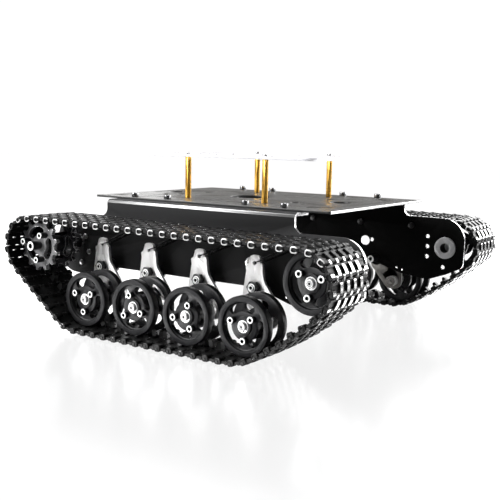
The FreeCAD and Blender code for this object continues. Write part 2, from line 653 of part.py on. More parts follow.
def sprocket_disc():
    """A toothed plate with three spokes, lying at y = 0 and thickening towards -Y."""
    body = new_body("sprocket_disc")
    teeth, root, tip = int(size("sprocket_teeth")), size("sprocket_root"), size("sprocket_tip")
    step = 2 * math.pi / teeth
    edges = []

    def at(radius, angle):
        return Vector(radius * math.cos(angle), radius * math.sin(angle), 0)

    for tooth in range(teeth):
        middle = tooth * step
        foot, crown, nxt = 0.27 * step, 0.1 * step, middle + step
        edges.append(Part.LineSegment(at(root, middle - foot), at(tip, middle - crown)))
        edges.append(Part.Arc(at(tip, middle - crown), at(tip, middle), at(tip, middle + crown)))
        edges.append(Part.LineSegment(at(tip, middle + crown), at(root, middle + foot)))
        edges.append(Part.Arc(at(root, middle + foot), at(root, middle + step / 2), at(root, nxt - foot)))
    pad(body, sketch_on(body, "XZ_Plane", "tooth_outline", [edges]), "sprocket_disc")
    windows = [
        kidney(size("sprocket_window_inner"), size("sprocket_window_outer"), angle,
               size("sprocket_window_half_angle"))
        for angle in (30, 150, 270)]
    bolts = [circle(x, z, size("bolt_radius")) for x, z in on_circle(size("sprocket_bolt_circle"), 3, 90)]
    bore = [circle(0, 0, size("output_radius"))]
    pocket_through(body, sketch_on(body, "XZ_Plane", "sprocket_cuts", windows + bolts + bore))
    return body


def sprocket_parts():
    disc = sprocket_disc()
    outer = group("sprocket_outer", disc)
    bind(outer, Placement__Base__y="0 - sprocket_gap / 2")
    inner = group("sprocket_inner", disc)
    bind(inner, Placement__Base__y="sprocket_gap / 2 + sprocket_disc")
    barrel = tube("sprocket_barrel", "sleeve_radius", "output_radius", "sprocket_gap", y="0 - sprocket_gap / 2")
    hub_start = "sprocket_gap / 2 + sprocket_disc"
    hub_length = "wheel_side - side_outer_face - 4.5 - ( " + hub_start + " )"
    hub = tube("sprocket_hub", "sleeve_radius", "output_radius", hub_length, y=hub_start)
    face = "0 - sprocket_gap / 2 - sprocket_disc"
    hardware = wheel_bolts("sprocket_bolt", "sprocket_bolt_circle", f"{face} - sprocket_head_height",
                           "sprocket_head_height", "sprocket_gap + 2 * sprocket_disc + nut_height", hub_start)
    cap = cut("sprocket_cap", rod("sprocket_cap_bar", "cap_radius", "cap_length", y=f"{face} - cap_length"),
              hexagon("sprocket_cap_socket", "cap_socket_flats", "cap_socket_depth", y=f"{face} - cap_length"))
    shaft = rod("output_shaft", "output_radius", "wheel_side - side_outer_face + 12 - ( " + face + " )", y=face)
    return [outer, inner, barrel, hub], hardware + [cap, shaft]


def motor_screws():
    """Six screws into the gearbox from outside the side plate, and the holes they need in the bracket."""
    plate_face = "side_outer_face"
    screws, ways = [], []
    for number in range(6):
        angle = MOTOR_SCREW_START + 60 * number
        x = f"sprocket_along - motor_behind_shaft + motor_screw_circle * cos( {angle} deg )"
        z = f"sprocket_height - motor_below_shaft + motor_screw_circle * sin( {angle} deg )"
        name = f"motor_screw_{number}"
        screws.append(rod(name + "_head", "motor_screw_head", "motor_screw_head_height",
                          x, f"0 - {plate_face} - motor_screw_head_height", z))
        screws.append(rod(name + "_shank", "motor_screw_radius", "sheet_thickness + bracket_thickness + 1",
                          x, f"0 - {plate_face}", z))
        ways.append(rod(name + "_way", "motor_screw_radius + 0.1", "bracket_thickness + 2",
                        x, f"sheet_thickness - {plate_face} - 1", z))
    return screws, ways


def motor_parts():
    """Gear motor behind the rear end of the side plate, its shaft running out through the boss."""
    x, z = "sprocket_along", "sprocket_height"
    body_x, body_z = "sprocket_along - motor_behind_shaft", "sprocket_height - motor_below_shaft"
    plate_face = "side_outer_face - sheet_thickness"
    mount_face = plate_face + " - bracket_thickness"
    through = "bracket_thickness + sheet_thickness + boss_reach"
    screws, screw_ways = motor_screws()
    gearbox = rod("gearbox", "gearbox_radius", "gearbox_length", body_x, f"0 - ( {mount_face} )", body_z)
    boss = rod("gearbox_boss", "boss_radius", through, x, f"0 - ( {mount_face} ) - ( {through} )", z)
    shaft_way = rod("shaft_way", "output_radius + running_gap", "24", x, f"0 - ( {mount_face} ) - 10", z)
    can = rod("motor_can", "can_radius", "can_length", body_x, f"0 - ( {mount_face} ) + gearbox_length", body_z)
    encoder = rod("encoder", "can_radius - 2", "encoder_length", body_x,
                  f"0 - ( {mount_face} ) + gearbox_length + can_length", body_z)
    case = cut("gearbox_case", fuse("gearbox_body", gearbox, boss, *screws), shaft_way)
    motor = group("right_gear_motor", case, can, encoder)
    plate = block("bracket_plate", "bracket_length", "bracket_thickness", "bracket_height",
                  f"{body_x} - bracket_length / 2", f"0 - ( {plate_face} )", f"{body_z} - bracket_length / 2")
    shelf = block("bracket_shelf", "bracket_length", "bracket_depth", "bracket_thickness",
                  f"{body_x} - bracket_length / 2", f"0 - ( {plate_face} )",
                  f"{body_z} - bracket_length / 2 + bracket_height")
    way = rod("bracket_way", "boss_radius + 0.3", "20", x, f"0 - ( {plate_face} ) - 5", z)
    bracket = cut("right_motor_bracket", fuse("bracket_blank", plate, shelf), fuse("bracket_ways", way, *screw_ways))
    return motor, bracket


def idler_axle():
    """Flanged stub axle of the idler, clamped in the slot of the side plate."""
    x, z = "idler_along", "idler_height"
    inner_face = "side_outer_face - sheet_thickness"
    flange = rod("idler_flange", "flange_disc_radius", "flange_disc_thickness", x, f"0 - ( {inner_face} )", z)
    shoulder_end = "wheel_side - wheel_width / 2 - 0.4"
    neck = rod("idler_neck", "axle_radius + 3.9", f"{shoulder_end} - ( {inner_face} )",
               x, f"0 - ( {shoulder_end} )", z)
    collar = rod("idler_collar", "9", "8", x, "- side_outer_face - 8", z)
    shaft = rod("idler_shaft", "axle_radius", "wheel_width + face_gap + 1", x,
                "0 - wheel_side - wheel_width / 2 - face_gap", z)
    button = rod("idler_button", "3.4", "1.6", x, "0 - wheel_side - wheel_width / 2 - face_gap - 1.6", z)
    bore = rod("idler_bore", "flange_disc_bore", "16", x, f"0 - ( {inner_face} ) - 10", z)
    return cut("right_idler_axle", fuse("idler_axle_solid", flange, neck, collar, shaft, button), bore)


# ---------------------------------------------------------------- track

def track_link():
    """One link, from its rear pin at the origin to its front pin along +X. +Z faces the wheels."""
    pitch, width = size("link_pitch"), size("track_width")
    count, gap = int(size("finger_count")), size("finger_gap")
    lane = width / count
    setback, half = size("web_setback"), size("web_half_height")
    knuckle = size("knuckle_radius")
    web = Part.makeBox(pitch - 2 * setback, width, 2 * half, Vector(setback, -width / 2, -half))
    bar = size("tread_bar")
    tread = Part.makeBox(bar, width, size("tread_depth") - half,
                         Vector((pitch - bar) / 2, -width / 2, -size("tread_depth")))
    solid = web.fuse(tread)
    for finger in range(count):
        start = -width / 2 + finger * lane + gap / 2
        at_rear = finger % 2 == 0
        pin_x = 0 if at_rear else pitch
        eye = Part.makeCylinder(knuckle, lane - gap, Vector(pin_x, start, 0), ACROSS)
        arm_x = 0 if at_rear else pitch - setback
        strap = Part.makeBox(setback, lane - gap, 2 * half, Vector(arm_x, start, -half))
        solid = solid.fuse(eye.fuse(strap))
    for pin_x in (0, pitch):
        hole = Part.makeCylinder(size("pin_radius") + size("pin_gap"), width, Vector(pin_x, -width / 2, 0), ACROSS)
        solid = solid.cut(hole)
    horn_y = size("wheel_side") - size("track_side")
    foot, crown, high = 3.2, 1.6, size("horn_height")
    horn_outline = Part.makePolygon([
        Vector(pitch / 2 - foot, 0, half), Vector(pitch / 2 + foot, 0, half),
        Vector(pitch / 2 + crown, 0, high), Vector(pitch / 2 - crown, 0, high),
        Vector(pitch / 2 - foot, 0, half)])
    horn = Part.Face(horn_outline).extrude(ACROSS * size("horn_width"))
    horn.translate(Vector(0, -horn_y - size("horn_width") / 2, -0.01))
    return solid.fuse(horn).removeSplitter()


def track_path():
    """The pins' path as (start, end, centre, radius) stretches.

    It runs forward along the ground, sags a little on its way up to the idler, goes back along the top and
    comes down round the sprocket.
    """
    bend, low = size("track_bend"), size("axle_height")
    circles = [(AXLES[0], low), (AXLES[-1], low), NOSE, DRIVE]
    front_run = 1
    stretches = []
    for index, first in enumerate(circles):
        second = circles[(index + 1) % len(circles)]
        heading = math.atan2(second[1] - first[1], second[0] - first[0])
        aside = heading - math.pi / 2
        stretches.append((first, second, heading, aside))
    path = []
    for index, (first, second, heading, aside) in enumerate(stretches):
        start = Vector(first[0] + bend * math.cos(aside), 0, first[1] + bend * math.sin(aside))
        end = Vector(second[0] + bend * math.cos(aside), 0, second[1] + bend * math.sin(aside))
        if index == front_run:
            outward = Vector(math.cos(aside), 0, math.sin(aside))
            path.append(Part.Arc(start, (start + end) / 2 + outward * size("front_sag"), end).toShape())
        else:
            path.append(Part.LineSegment(start, end).toShape())
        next_aside = stretches[(index + 1) % len(stretches)][3]
        turn = (next_aside - aside) % (2 * math.pi)
        centre = Vector(second[0], 0, second[1])
        arc_points = [
            centre + Vector(math.cos(aside + turn * part), 0, math.sin(aside + turn * part)) * bend
            for part in (0, 0.5, 1)]
        path.append(Part.Arc(*arc_points).toShape())
    return Part.Wire(path)


def point_at(path, distance):
    """The point at a distance along a closed wire."""
    distance %= path.Length
    for edge in path.OrderedEdges:
        if distance <= edge.Length:
            fraction = edge.getParameterByLength(distance)
            return edge.valueAt(fraction)
        distance -= edge.Length
    return path.OrderedEdges[-1].valueAt(path.OrderedEdges[-1].LastParameter)


def chord_step(path, distance, pitch):
    """How far along the path the next pin is, one straight pitch away."""
    here = point_at(path, distance)
    near, far = 0.9 * pitch, 1.2 * pitch
    for _ in range(30):
        middle = (near + far) / 2
        if (point_at(path, distance + middle) - here).Length < pitch:
            near = middle
        else:
            far = middle
    return (near + far) / 2


def pin_places(path):
    """The number of links that fits the path, and where their pins lie, with the pitch eased to close it."""
    def walk(count, pitch):
        distance, places = 0.0, []
        for _ in range(count):
            places.append(distance)
            distance += chord_step(path, distance, pitch)
        return distance, places

    nominal = size("link_pitch")
    count = round(path.Length / nominal)
    low, high = 0.96 * nominal, 1.04 * nominal
    for _ in range(24):
        pitch = (low + high) / 2
        total, places = walk(count, pitch)
        if total < path.Length:
            low = pitch
        else:
            high = pitch
    return [point_at(path, place_) for place_ in places]


def tracks():
    path = track_path()
    pins = pin_places(path)
    link = track_link()
    width = size("track_width")
    links, rods = [], []
    for index, here in enumerate(pins):
        ahead = pins[(index + 1) % len(pins)]
        run = ahead - here
        angle = math.degrees(math.atan2(run.z, run.x))
        slack = (run.Length - size("link_pitch")) / 2
        base = here + run.normalize() * slack
        turn = Rotation(ACROSS, -angle)
        links.append(link.transformed(FreeCAD.Placement(
            Vector(base.x, -size("track_side"), base.z), turn).toMatrix()))
        rods.append(Part.makeCylinder(
            size("pin_radius"), width - 0.6, Vector(here.x, -size("track_side") - width / 2 + 0.3, here.z), ACROSS))
    print("track path", round(path.Length, 2), "mm,", len(pins), "links, pitch", round(path.Length / len(pins), 3))
    for name, solids in (("right_track_links", links), ("right_track_pins", rods)):
        chain = doc.addObject("Part::Feature", name)
        chain.Shape = Part.makeCompound(solids)
        yield chain


# ---------------------------------------------------------------- assembly

def node(name, pieces, x="0", y="0", z="0", turn=0.0):
    """A node of the right side: shared solids, turned about Y and set down at a place."""
    result = group("right_" + name, *pieces)
    result.Placement.Rotation = Rotation(ACROSS, turn)
    return place(result, x, y, z)


right = [side_plate(), *motor_parts(), idler_axle(), *tracks()]
discs, wheel_hardware = wheel_parts()
arm, axle, coil = arm_plate(), wheel_axle(), spring()
SPOKE_TURNS = (57.4, -11.8, 22.8, 51.6)
IDLER_TURN, SPROCKET_TURN = 66.4, 42.4
for index in range(ARM_COUNT):
    number = index + 1
    axle_x = f"first_axle + {index} * axle_step"
    pivot_x = axle_x + " - pivot_behind_axle"
    arm_y = "arm_thickness - arm_outer_face"
    axle_piece = place(group(f"axle_piece_{number}", axle), y="0 - arm_thickness")
    right.append(node(f"arm_{number}", [arm, axle_piece], pivot_x, arm_y, "pivot_height"))
    right.append(node(f"spring_{number}", [coil], pivot_x + " + hook_along",
                      "arm_thickness / 2 - arm_outer_face", "pivot_height + hook_height"))
    for label, pieces in (("wheel", discs), ("wheel_hardware", wheel_hardware)):
        right.append(node(f"{label}_{number}", pieces, axle_x, "0 - wheel_side", "axle_height",
                          SPOKE_TURNS[index]))
for label, pieces in (("idler", discs), ("idler_hardware", wheel_hardware)):
    right.append(node(label, pieces, "idler_along", "0 - wheel_side", "idler_height", IDLER_TURN))
sprocket, sprocket_hardware = sprocket_parts()
for label, pieces in (("sprocket", sprocket), ("sprocket_hardware", sprocket_hardware)):
    right.append(node(
        label, pieces, "sprocket_along", "0 - wheel_side", "sprocket_height", SPROCKET_TURN))

left = [mirrored(part.Name.replace("right_", "left_"), part) for part in right]
middle = [deck(), clear_plate(), standoffs(), deck_screws(), flange_screws()]
for label, pieces in (("arm_pivots", arm_pivots()), ("spring_anchors", spring_anchors())):
    middle.append(group(label, pieces, mirrored("left_" + label, pieces)))
doc.recompute()

# ---------------------------------------------------------------- checks and files

for thing in doc.Objects:
    if {"Invalid", "Error"} & set(thing.State):
        raise RuntimeError(f"{thing.Name} is {thing.State}")

os.makedirs("parts", exist_ok=True)
bounds = FreeCAD.BoundBox()
nodes = middle + right + left
for part in nodes:
    if part.Shape.isNull() or not part.Shape.isValid():
        raise RuntimeError(f"{part.Name} has no valid shape")
    part.Label = part.Name
    bounds.add(part.Shape.BoundBox)
for part in nodes:
    part.Shape.exportStep(f"parts/{part.Label}.step")
print(len(nodes), "nodes", bounds)
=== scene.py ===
"""The look of the tracked tank chassis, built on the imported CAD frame."""
import json
import math

import bmesh
import bpy
import numpy as np
from mathutils import Matrix, Vector

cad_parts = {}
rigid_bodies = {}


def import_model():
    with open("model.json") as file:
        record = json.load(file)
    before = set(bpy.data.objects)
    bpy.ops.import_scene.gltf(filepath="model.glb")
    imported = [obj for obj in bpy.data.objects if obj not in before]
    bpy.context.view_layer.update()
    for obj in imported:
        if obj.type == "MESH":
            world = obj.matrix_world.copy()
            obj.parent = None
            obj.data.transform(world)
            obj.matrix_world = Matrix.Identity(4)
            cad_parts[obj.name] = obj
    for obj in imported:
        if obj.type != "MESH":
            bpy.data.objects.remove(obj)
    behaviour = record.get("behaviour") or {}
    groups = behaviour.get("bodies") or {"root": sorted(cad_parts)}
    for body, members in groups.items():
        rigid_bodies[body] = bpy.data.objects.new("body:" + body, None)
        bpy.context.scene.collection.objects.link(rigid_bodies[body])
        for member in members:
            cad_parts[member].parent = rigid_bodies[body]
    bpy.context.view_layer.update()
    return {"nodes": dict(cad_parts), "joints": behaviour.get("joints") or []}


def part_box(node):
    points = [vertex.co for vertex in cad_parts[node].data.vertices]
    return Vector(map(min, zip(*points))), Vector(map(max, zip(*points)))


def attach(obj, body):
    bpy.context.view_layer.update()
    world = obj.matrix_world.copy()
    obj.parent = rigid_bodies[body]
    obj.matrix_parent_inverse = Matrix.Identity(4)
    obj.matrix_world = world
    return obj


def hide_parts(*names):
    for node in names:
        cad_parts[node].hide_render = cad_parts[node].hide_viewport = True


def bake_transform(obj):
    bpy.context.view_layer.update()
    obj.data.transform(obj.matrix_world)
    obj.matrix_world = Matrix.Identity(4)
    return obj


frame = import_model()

MM = 0.001
SIDES = {"right": -1, "left": 1}
ARM_COUNT = 4

nodes = frame["nodes"]
joints = {joint["name"]: joint for joint in frame["joints"]}


# ---------------------------------------------------------------- camera, light and floor

CAMERA_PLACE = Vector((454.1, -693.5, 178.5)) * MM
CAMERA_YAW, CAMERA_PITCH, CAMERA_ROLL = 34.19, 7.68, 1.12
CAMERA_LENS, CAMERA_SENSOR = 59.3, 36
CAMERA_NEAR = 0.01


def aim(yaw, pitch, roll):
    """A camera's rotation: yaw turns left from +Y, pitch tips down, roll turns the picture."""
    yaw, pitch, roll = (math.radians(angle) for angle in (yaw, pitch, roll))
    forward = Vector((-math.sin(yaw) * math.cos(pitch), math.cos(yaw) * math.cos(pitch), -math.sin(pitch)))
    right = Vector((math.cos(yaw), math.sin(yaw), 0))
    up = right.cross(forward)
    across = right * math.cos(roll) + up * math.sin(roll)
    above = up * math.cos(roll) - right * math.sin(roll)
    return Matrix((across, above, -forward)).transposed()


camera = bpy.data.objects.new("camera", bpy.data.cameras.new("camera"))
camera.data.lens = CAMERA_LENS
camera.data.sensor_width = CAMERA_SENSOR
camera.data.clip_start = CAMERA_NEAR
camera.matrix_world = Matrix.Translation(CAMERA_PLACE) @ aim(CAMERA_YAW, CAMERA_PITCH, CAMERA_ROLL).to_4x4()
bpy.context.scene.collection.objects.link(camera)
bpy.context.scene.camera = camera
bpy.context.scene.view_settings.view_transform = "Standard"


def softbox(name, place, target, width, height, radiance):
    """A soft rectangular light, of the same brightness whatever its size."""
    data = bpy.data.lights.new(name, "AREA")
    data.shape = "RECTANGLE"
    data.size, data.size_y = width, height
    data.energy = radiance * width * height * math.pi
    lamp = bpy.data.objects.new(name, data)
    bpy.context.scene.collection.objects.link(lamp)
    place, target = Vector(place), Vector(target)
    facing = (target - place).to_track_quat("-Z", "Y").to_matrix().to_4x4()
    lamp.matrix_world = Matrix.Translation(place) @ facing


CENTRE = (0, 0, 0.08)
softbox("key_left", (-1.1, -1.25, 0.8), CENTRE, 0.9, 0.7, 21)
softbox("top_bank", (-0.1, 0.5, 1.4), CENTRE, 1.2, 0.8, 3)
softbox("front_strip", (1.5, 0.9, 0.55), CENTRE, 0.45, 0.8, 20)
softbox("far_bank", (0.35, 1.5, 0.55), CENTRE, 1.5, 0.75, 9)
softbox("back_left", (-1.7, 1.3, 0.42), CENTRE, 0.8, 0.5, 2)
softbox("bend_light", (-0.95, -0.25, 1.35), CENTRE, 0.7, 0.7, 24)

BACKDROP_STRENGTH = 1.05
SKY_STRENGTH = 0.75
SKY_BY_DEPTH = [(0.3, 0.05), (0.5, 0.10), (0.7, 0.4), (1.0, 0.5)]


def seen_directly(tree):
    """1 for what the camera sees, straight or through clear plastic, and 0 for light on the model."""
    path = tree.nodes.new("ShaderNodeLightPath")
    either = tree.nodes.new("ShaderNodeMath")
    either.operation = "MAXIMUM"
    tree.links.new(path.outputs["Is Camera Ray"], either.inputs[0])
    tree.links.new(path.outputs["Is Transmission Ray"], either.inputs[1])
    return either.outputs[0]


def world_light():
    """White to the camera; for everything that it lights, a sky that is bright behind and dark in front."""
    world = bpy.data.worlds.new("studio")
    bpy.context.scene.world = world
    world.use_nodes = True
    tree = world.node_tree
    tree.nodes.clear()
    output = tree.nodes.new("ShaderNodeOutputWorld")
    mix = tree.nodes.new("ShaderNodeMixShader")
    seen = tree.nodes.new("ShaderNodeBackground")
    seen.inputs["Color"].default_value = (1, 1, 1, 1)
    seen.inputs["Strength"].default_value = BACKDROP_STRENGTH
    lit = tree.nodes.new("ShaderNodeBackground")
    direction = tree.nodes.new("ShaderNodeTexCoord")
    split = tree.nodes.new("ShaderNodeSeparateXYZ")
    shift = tree.nodes.new("ShaderNodeMapRange")
    shift.inputs["From Min"].default_value = -1
    shift.inputs["From Max"].default_value = 1
    ramp = tree.nodes.new("ShaderNodeValToRGB")
    elements = ramp.color_ramp.elements
    while len(elements) < len(SKY_BY_DEPTH):
        elements.new(0.5)
    for element, (position, grey) in zip(elements, SKY_BY_DEPTH):
        element.position = position
        element.color = (grey, grey, grey, 1)
    link = tree.links.new
    link(direction.outputs["Generated"], split.inputs[0])
    link(split.outputs["Y"], shift.inputs["Value"])
    link(shift.outputs[0], ramp.inputs["Fac"])
    link(ramp.outputs["Color"], lit.inputs["Color"])
    lit.inputs["Strength"].default_value = SKY_STRENGTH
    link(seen_directly(tree), mix.inputs["Fac"])
    link(lit.outputs[0], mix.inputs[1])
    link(seen.outputs[0], mix.inputs[2])
    link(mix.outputs[0], output.inputs["Surface"])


world_light()


# ---------------------------------------------------------------- materials

NOISE_ROUGHNESS = 0.55
NOISE_RANGE = (0.3, 0.7)


class Surface:
    """A Principled surface whose colour, roughness and relief are built up layer by layer."""

    def __init__(self, name, metallic=0.0, specular=0.5, transmission=0.0, ior=1.5):
        self.material = bpy.data.materials.new(name)
        self.material.use_nodes = True
        self.tree = self.material.node_tree
        self.shader = self.tree.nodes["Principled BSDF"]
        for socket, value in (("Metallic", metallic), ("Specular IOR Level", specular),
                              ("Transmission Weight", transmission), ("IOR", ior)):
            self.shader.inputs[socket].default_value = value
        self.place = self.tree.nodes.new("ShaderNodeTexCoord").outputs["Object"]
        self.relief = None

    def noise(self, scale, detail, stretch=(1, 1, 1)):
        """A 0 to 1 noise, drawn out along the axes whose stretch is small."""
        mapping = self.tree.nodes.new("ShaderNodeMapping")
        mapping.inputs["Scale"].default_value = stretch
        texture = self.tree.nodes.new("ShaderNodeTexNoise")
        texture.inputs["Scale"].default_value = scale
        texture.inputs["Detail"].default_value = detail
        texture.inputs["Roughness"].default_value = NOISE_ROUGHNESS
        self.tree.links.new(self.place, mapping.inputs["Vector"])
        self.tree.links.new(mapping.outputs[0], texture.inputs["Vector"])
        return texture.outputs["Fac"]

    def ramp(self, source, stops):
        """Colours or greys along a 0 to 1 source."""
        node = self.tree.nodes.new("ShaderNodeValToRGB")
        elements = node.color_ramp.elements
        while len(elements) < len(stops):
            elements.new(0.5)
        for element, (position, colour) in zip(elements, stops):
            element.position = position
            element.color = (*colour, 1) if isinstance(colour, tuple) else (colour, colour, colour, 1)
        self.tree.links.new(source, node.inputs["Fac"])
        return node.outputs["Color"]

    def colour(self, source):
        self.tree.links.new(source, self.shader.inputs["Base Color"])

    def mix(self, factor, first, second):
        node = self.tree.nodes.new("ShaderNodeMix")
        node.data_type = "RGBA"
        self.tree.links.new(factor, node.inputs["Factor"])
        self.tree.links.new(first, node.inputs["A"])
        self.tree.links.new(second, node.inputs["B"])
        return node.outputs["Result"]

    def roughness(self, source, low, high):
        """Roughness from low to high over the range that the noise mostly keeps to."""
        node = self.tree.nodes.new("ShaderNodeMapRange")
        node.inputs["From Min"].default_value = NOISE_RANGE[0]
        node.inputs["From Max"].default_value = NOISE_RANGE[1]
        node.inputs["To Min"].default_value = low
        node.inputs["To Max"].default_value = high
        self.tree.links.new(source, node.inputs["Value"])
        self.tree.links.new(node.outputs[0], self.shader.inputs["Roughness"])

    def bump(self, source, strength, distance):
        """Relief from a height source, on top of any relief added before."""
        node = self.tree.nodes.new("ShaderNodeBump")
        node.inputs["Strength"].default_value = strength
        node.inputs["Distance"].default_value = distance
        self.tree.links.new(source, node.inputs["Height"])
        if self.relief:
            self.tree.links.new(self.relief, node.inputs["Normal"])
        self.relief = node.outputs["Normal"]
        self.tree.links.new(self.relief, self.shader.inputs["Normal"])


CLOUD_SCALE, COAT_SPREAD = 22, 0.08
SMUDGE_SCALE, LINE_SPREAD, LINE_DEPTH = 45, 0.1, 0.00003


def coated(name, low, high, rough, grain_scale, grain, grain_depth, specular=0.5, metallic=0.0):
    """Black or grey finish: slow mottling in colour, with a fine grain in roughness and relief."""
    surface = Surface(name, metallic=metallic, specular=specular)
    cloud = surface.noise(CLOUD_SCALE, 4)
    fine = surface.noise(grain_scale, 3)
    surface.colour(surface.mix(fine, surface.ramp(cloud, [(0.3, low), (0.7, high)]),
                               surface.ramp(cloud, [(0.3, high), (0.7, low)])))
    surface.roughness(fine, rough - COAT_SPREAD, rough + COAT_SPREAD)
    surface.bump(fine, grain, grain_depth)
    return surface.material


def bare_metal(name, low, high, rough, stretch, scale=900, grain=0.25, metallic=1.0):
    """Brushed or turned metal: fine lines along one direction, and faint smudges."""
    surface = Surface(name, metallic=metallic)
    lines = surface.noise(scale, 4, stretch)
    smudge = surface.noise(SMUDGE_SCALE, 3)
    surface.colour(surface.mix(smudge, surface.ramp(lines, [(0.3, low), (0.7, high)]),
                               surface.ramp(lines, [(0.3, high), (0.7, high)])))
    surface.roughness(lines, rough - LINE_SPREAD, rough + LINE_SPREAD)
    surface.bump(lines, grain, LINE_DEPTH)
    return surface.material


EVEN = (1, 1, 1)
ALONG_X = (0.04, 1, 1)
ALONG_Z = (1, 1, 0.05)

paint = {
    "powder": coated("powder_coat", (0.016, 0.016, 0.0165), (0.034, 0.034, 0.035), 0.5, 2600, 0.4, 0.00014,
                     specular=0.06),
    # painted shade: a blacker copy of the powder coat, for the side plates' inner faces
    "powder_painted_shade": coated("powder_coat_painted_shade", (0.003, 0.003, 0.003), (0.008, 0.008, 0.008), 0.55, 2600, 0.4,
                           0.00014, specular=0.03),
    # painted highlight: a lighter, semi-metallic copy of the powder coat, for the lower part of the bend
    # under the deck
    "powder_bend_painted_highlight": coated("powder_coat_bend_painted_highlight", (0.16, 0.16, 0.16), (0.28, 0.28, 0.28), 0.34, 2600, 0.3, 0.0001,
                          specular=0.9, metallic=0.7),
    "deck": coated("deck_anodised", (0.032, 0.030, 0.027), (0.05, 0.047, 0.043), 0.3, 3200, 0.12, 0.00005,
                   specular=0.4),
    # painted highlight: bright metal for the deck's front cut edge only
    "deck_front_edge_painted_highlight": bare_metal("deck_cut_edge_painted_highlight", (0.75, 0.75, 0.75), (0.9, 0.9, 0.9), 0.3, ALONG_X),
    "black_edge": coated("black_cut_edge", (0.01, 0.01, 0.01), (0.025, 0.025, 0.025), 0.35, 2600, 0.2,
                         0.00005),
    # polished cut edge with a painted highlight: the side plates use it only on edges that face the front
    # light
    "cut_edge_painted_highlight": bare_metal("polished_edge_painted_highlight", (0.6, 0.6, 0.61), (0.85, 0.85, 0.86), 0.25, ALONG_X),
    "wheel": coated("wheel_anodised", (0.006, 0.006, 0.007), (0.014, 0.014, 0.0155), 0.4, 3000, 0.15, 0.00006,
                    specular=0.35),
    "rim": coated("rim_satin", (0.010, 0.010, 0.0112), (0.017, 0.017, 0.0185), 0.42, 2400, 0.25, 0.00008,
                  specular=0.3),
    "black_screw": coated("black_oxide", (0.005, 0.005, 0.005), (0.012, 0.012, 0.013), 0.34, 3000, 0.15,
                          0.00004),
    "screw_face": bare_metal("screw_face", (0.9, 0.9, 0.9), (0.98, 0.98, 0.98), 0.4, EVEN, scale=2600,
                             grain=0.1, metallic=0.6),
    "socket_screw": bare_metal("socket_screw", (0.16, 0.16, 0.165), (0.3, 0.3, 0.305), 0.26, ALONG_Z,
                               grain=0.12),
    "steel": bare_metal("ground_steel", (0.62, 0.62, 0.63), (0.82, 0.82, 0.83), 0.24, ALONG_Z, grain=0.12),
    "flange": bare_metal("flange_face", (0.62, 0.62, 0.63), (0.74, 0.74, 0.75), 0.42, EVEN, scale=2600,
                         grain=0.05, metallic=0.7),
    "arm": bare_metal("arm_aluminium", (0.90, 0.885, 0.88), (0.98, 0.975, 0.97), 0.45, ALONG_Z, scale=700,
                      grain=0.15, metallic=0.6),
    # painted shade: a darker copy of the arm aluminium, for the sides towards the hull
    "arm_painted_shade": bare_metal("arm_painted_shade", (0.16, 0.15, 0.14), (0.26, 0.25, 0.235), 0.45, ALONG_Z, scale=700,
                           grain=0.15, metallic=0.6),
    "sprocket": bare_metal("sprocket_aluminium", (0.12, 0.12, 0.122), (0.22, 0.22, 0.225), 0.4, EVEN,
                           scale=1800, grain=0.12, metallic=0.5),
    # painted highlight: bright metal on the sprocket's rounded edges
    "sprocket_edge": bare_metal("sprocket_edge_painted_highlight", (0.6, 0.6, 0.61), (0.85, 0.85, 0.86), 0.3, EVEN,
                                scale=1800, grain=0.1),
    "track": coated("track_blackened", (0.004, 0.004, 0.004), (0.010, 0.010, 0.010), 0.32, 1800, 0.2, 0.00006,
                    specular=0.08),
    # wear and painted highlight: bright metal on the outermost tread faces, left dark on the top run
    "tread": bare_metal("track_tread_wear_and_highlight", (0.22, 0.22, 0.22), (0.6, 0.6, 0.6), 0.2, EVEN, scale=1800,
                        grain=0.15),
    "track_end": coated("track_end_black", (0.004, 0.004, 0.004), (0.010, 0.010, 0.010), 0.4, 1800, 0.25,
                        0.00008, specular=0.3),
    # painted highlight: bright metal on the end chamfers, kept only on the top run
    "track_rim": bare_metal("track_rim_painted_highlight", (0.4, 0.4, 0.4), (0.8, 0.8, 0.8), 0.35, EVEN, scale=1800,
                            grain=0.15, metallic=0.2),
    # painted highlight: bright metal on the rounded edges of every link
    "track_edge": bare_metal("track_edge_painted_highlight", (0.3, 0.3, 0.305), (0.6, 0.6, 0.61), 0.16, EVEN, grain=0.1),
    "spring": bare_metal("spring_wire", (0.02, 0.02, 0.02), (0.05, 0.05, 0.05), 0.22, EVEN, scale=2500),
    "brass": bare_metal("brass_turned", (0.64, 0.31, 0.04), (0.84, 0.49, 0.10), 0.28, ALONG_Z, scale=1200),
    "motor": bare_metal("motor_case", (0.45, 0.45, 0.46), (0.62, 0.62, 0.63), 0.32, (1, 0.05, 1)),
}


ACRYLIC_OPACITY, ACRYLIC_IOR = 0.2, 1.49


def acrylic():
    """The clear plate's faces: polished, and seen through by opacity."""
    surface = Surface("clear_acrylic", ior=ACRYLIC_IOR)
    surface.shader.inputs["Alpha"].default_value = ACRYLIC_OPACITY
    cloud = surface.noise(30, 2)
    surface.colour(surface.ramp(cloud, [(0.3, (0.975, 0.975, 0.985)), (0.7, (0.995, 0.995, 1.0))]))
    surface.roughness(cloud, 0.01, 0.04)
    return surface.material


def acrylic_edge():
    """The saw-cut edge: frosted, with a faint lilac tint."""
    surface = Surface("acrylic_cut_edge", transmission=0.2, ior=ACRYLIC_IOR)
    saw = surface.noise(1500, 3, (1, 1, 0.1))
    surface.colour(surface.ramp(saw, [(0.3, (0.84, 0.83, 0.88)), (0.7, (0.95, 0.95, 0.98))]))
    surface.roughness(saw, 0.25, 0.5)
    surface.bump(saw, 0.3, 0.00005)
    return surface.material


paint["acrylic"] = acrylic()
paint["acrylic_edge"] = acrylic_edge()


FLOOR_GLOW, FLOOR_LIGHT = 0.86, 0.2
FLOOR_SHEEN, FLOOR_ROUGHNESS = 0.48, 0.2
FLOOR_REACH, FLOOR_DROP = 6, 0.0004


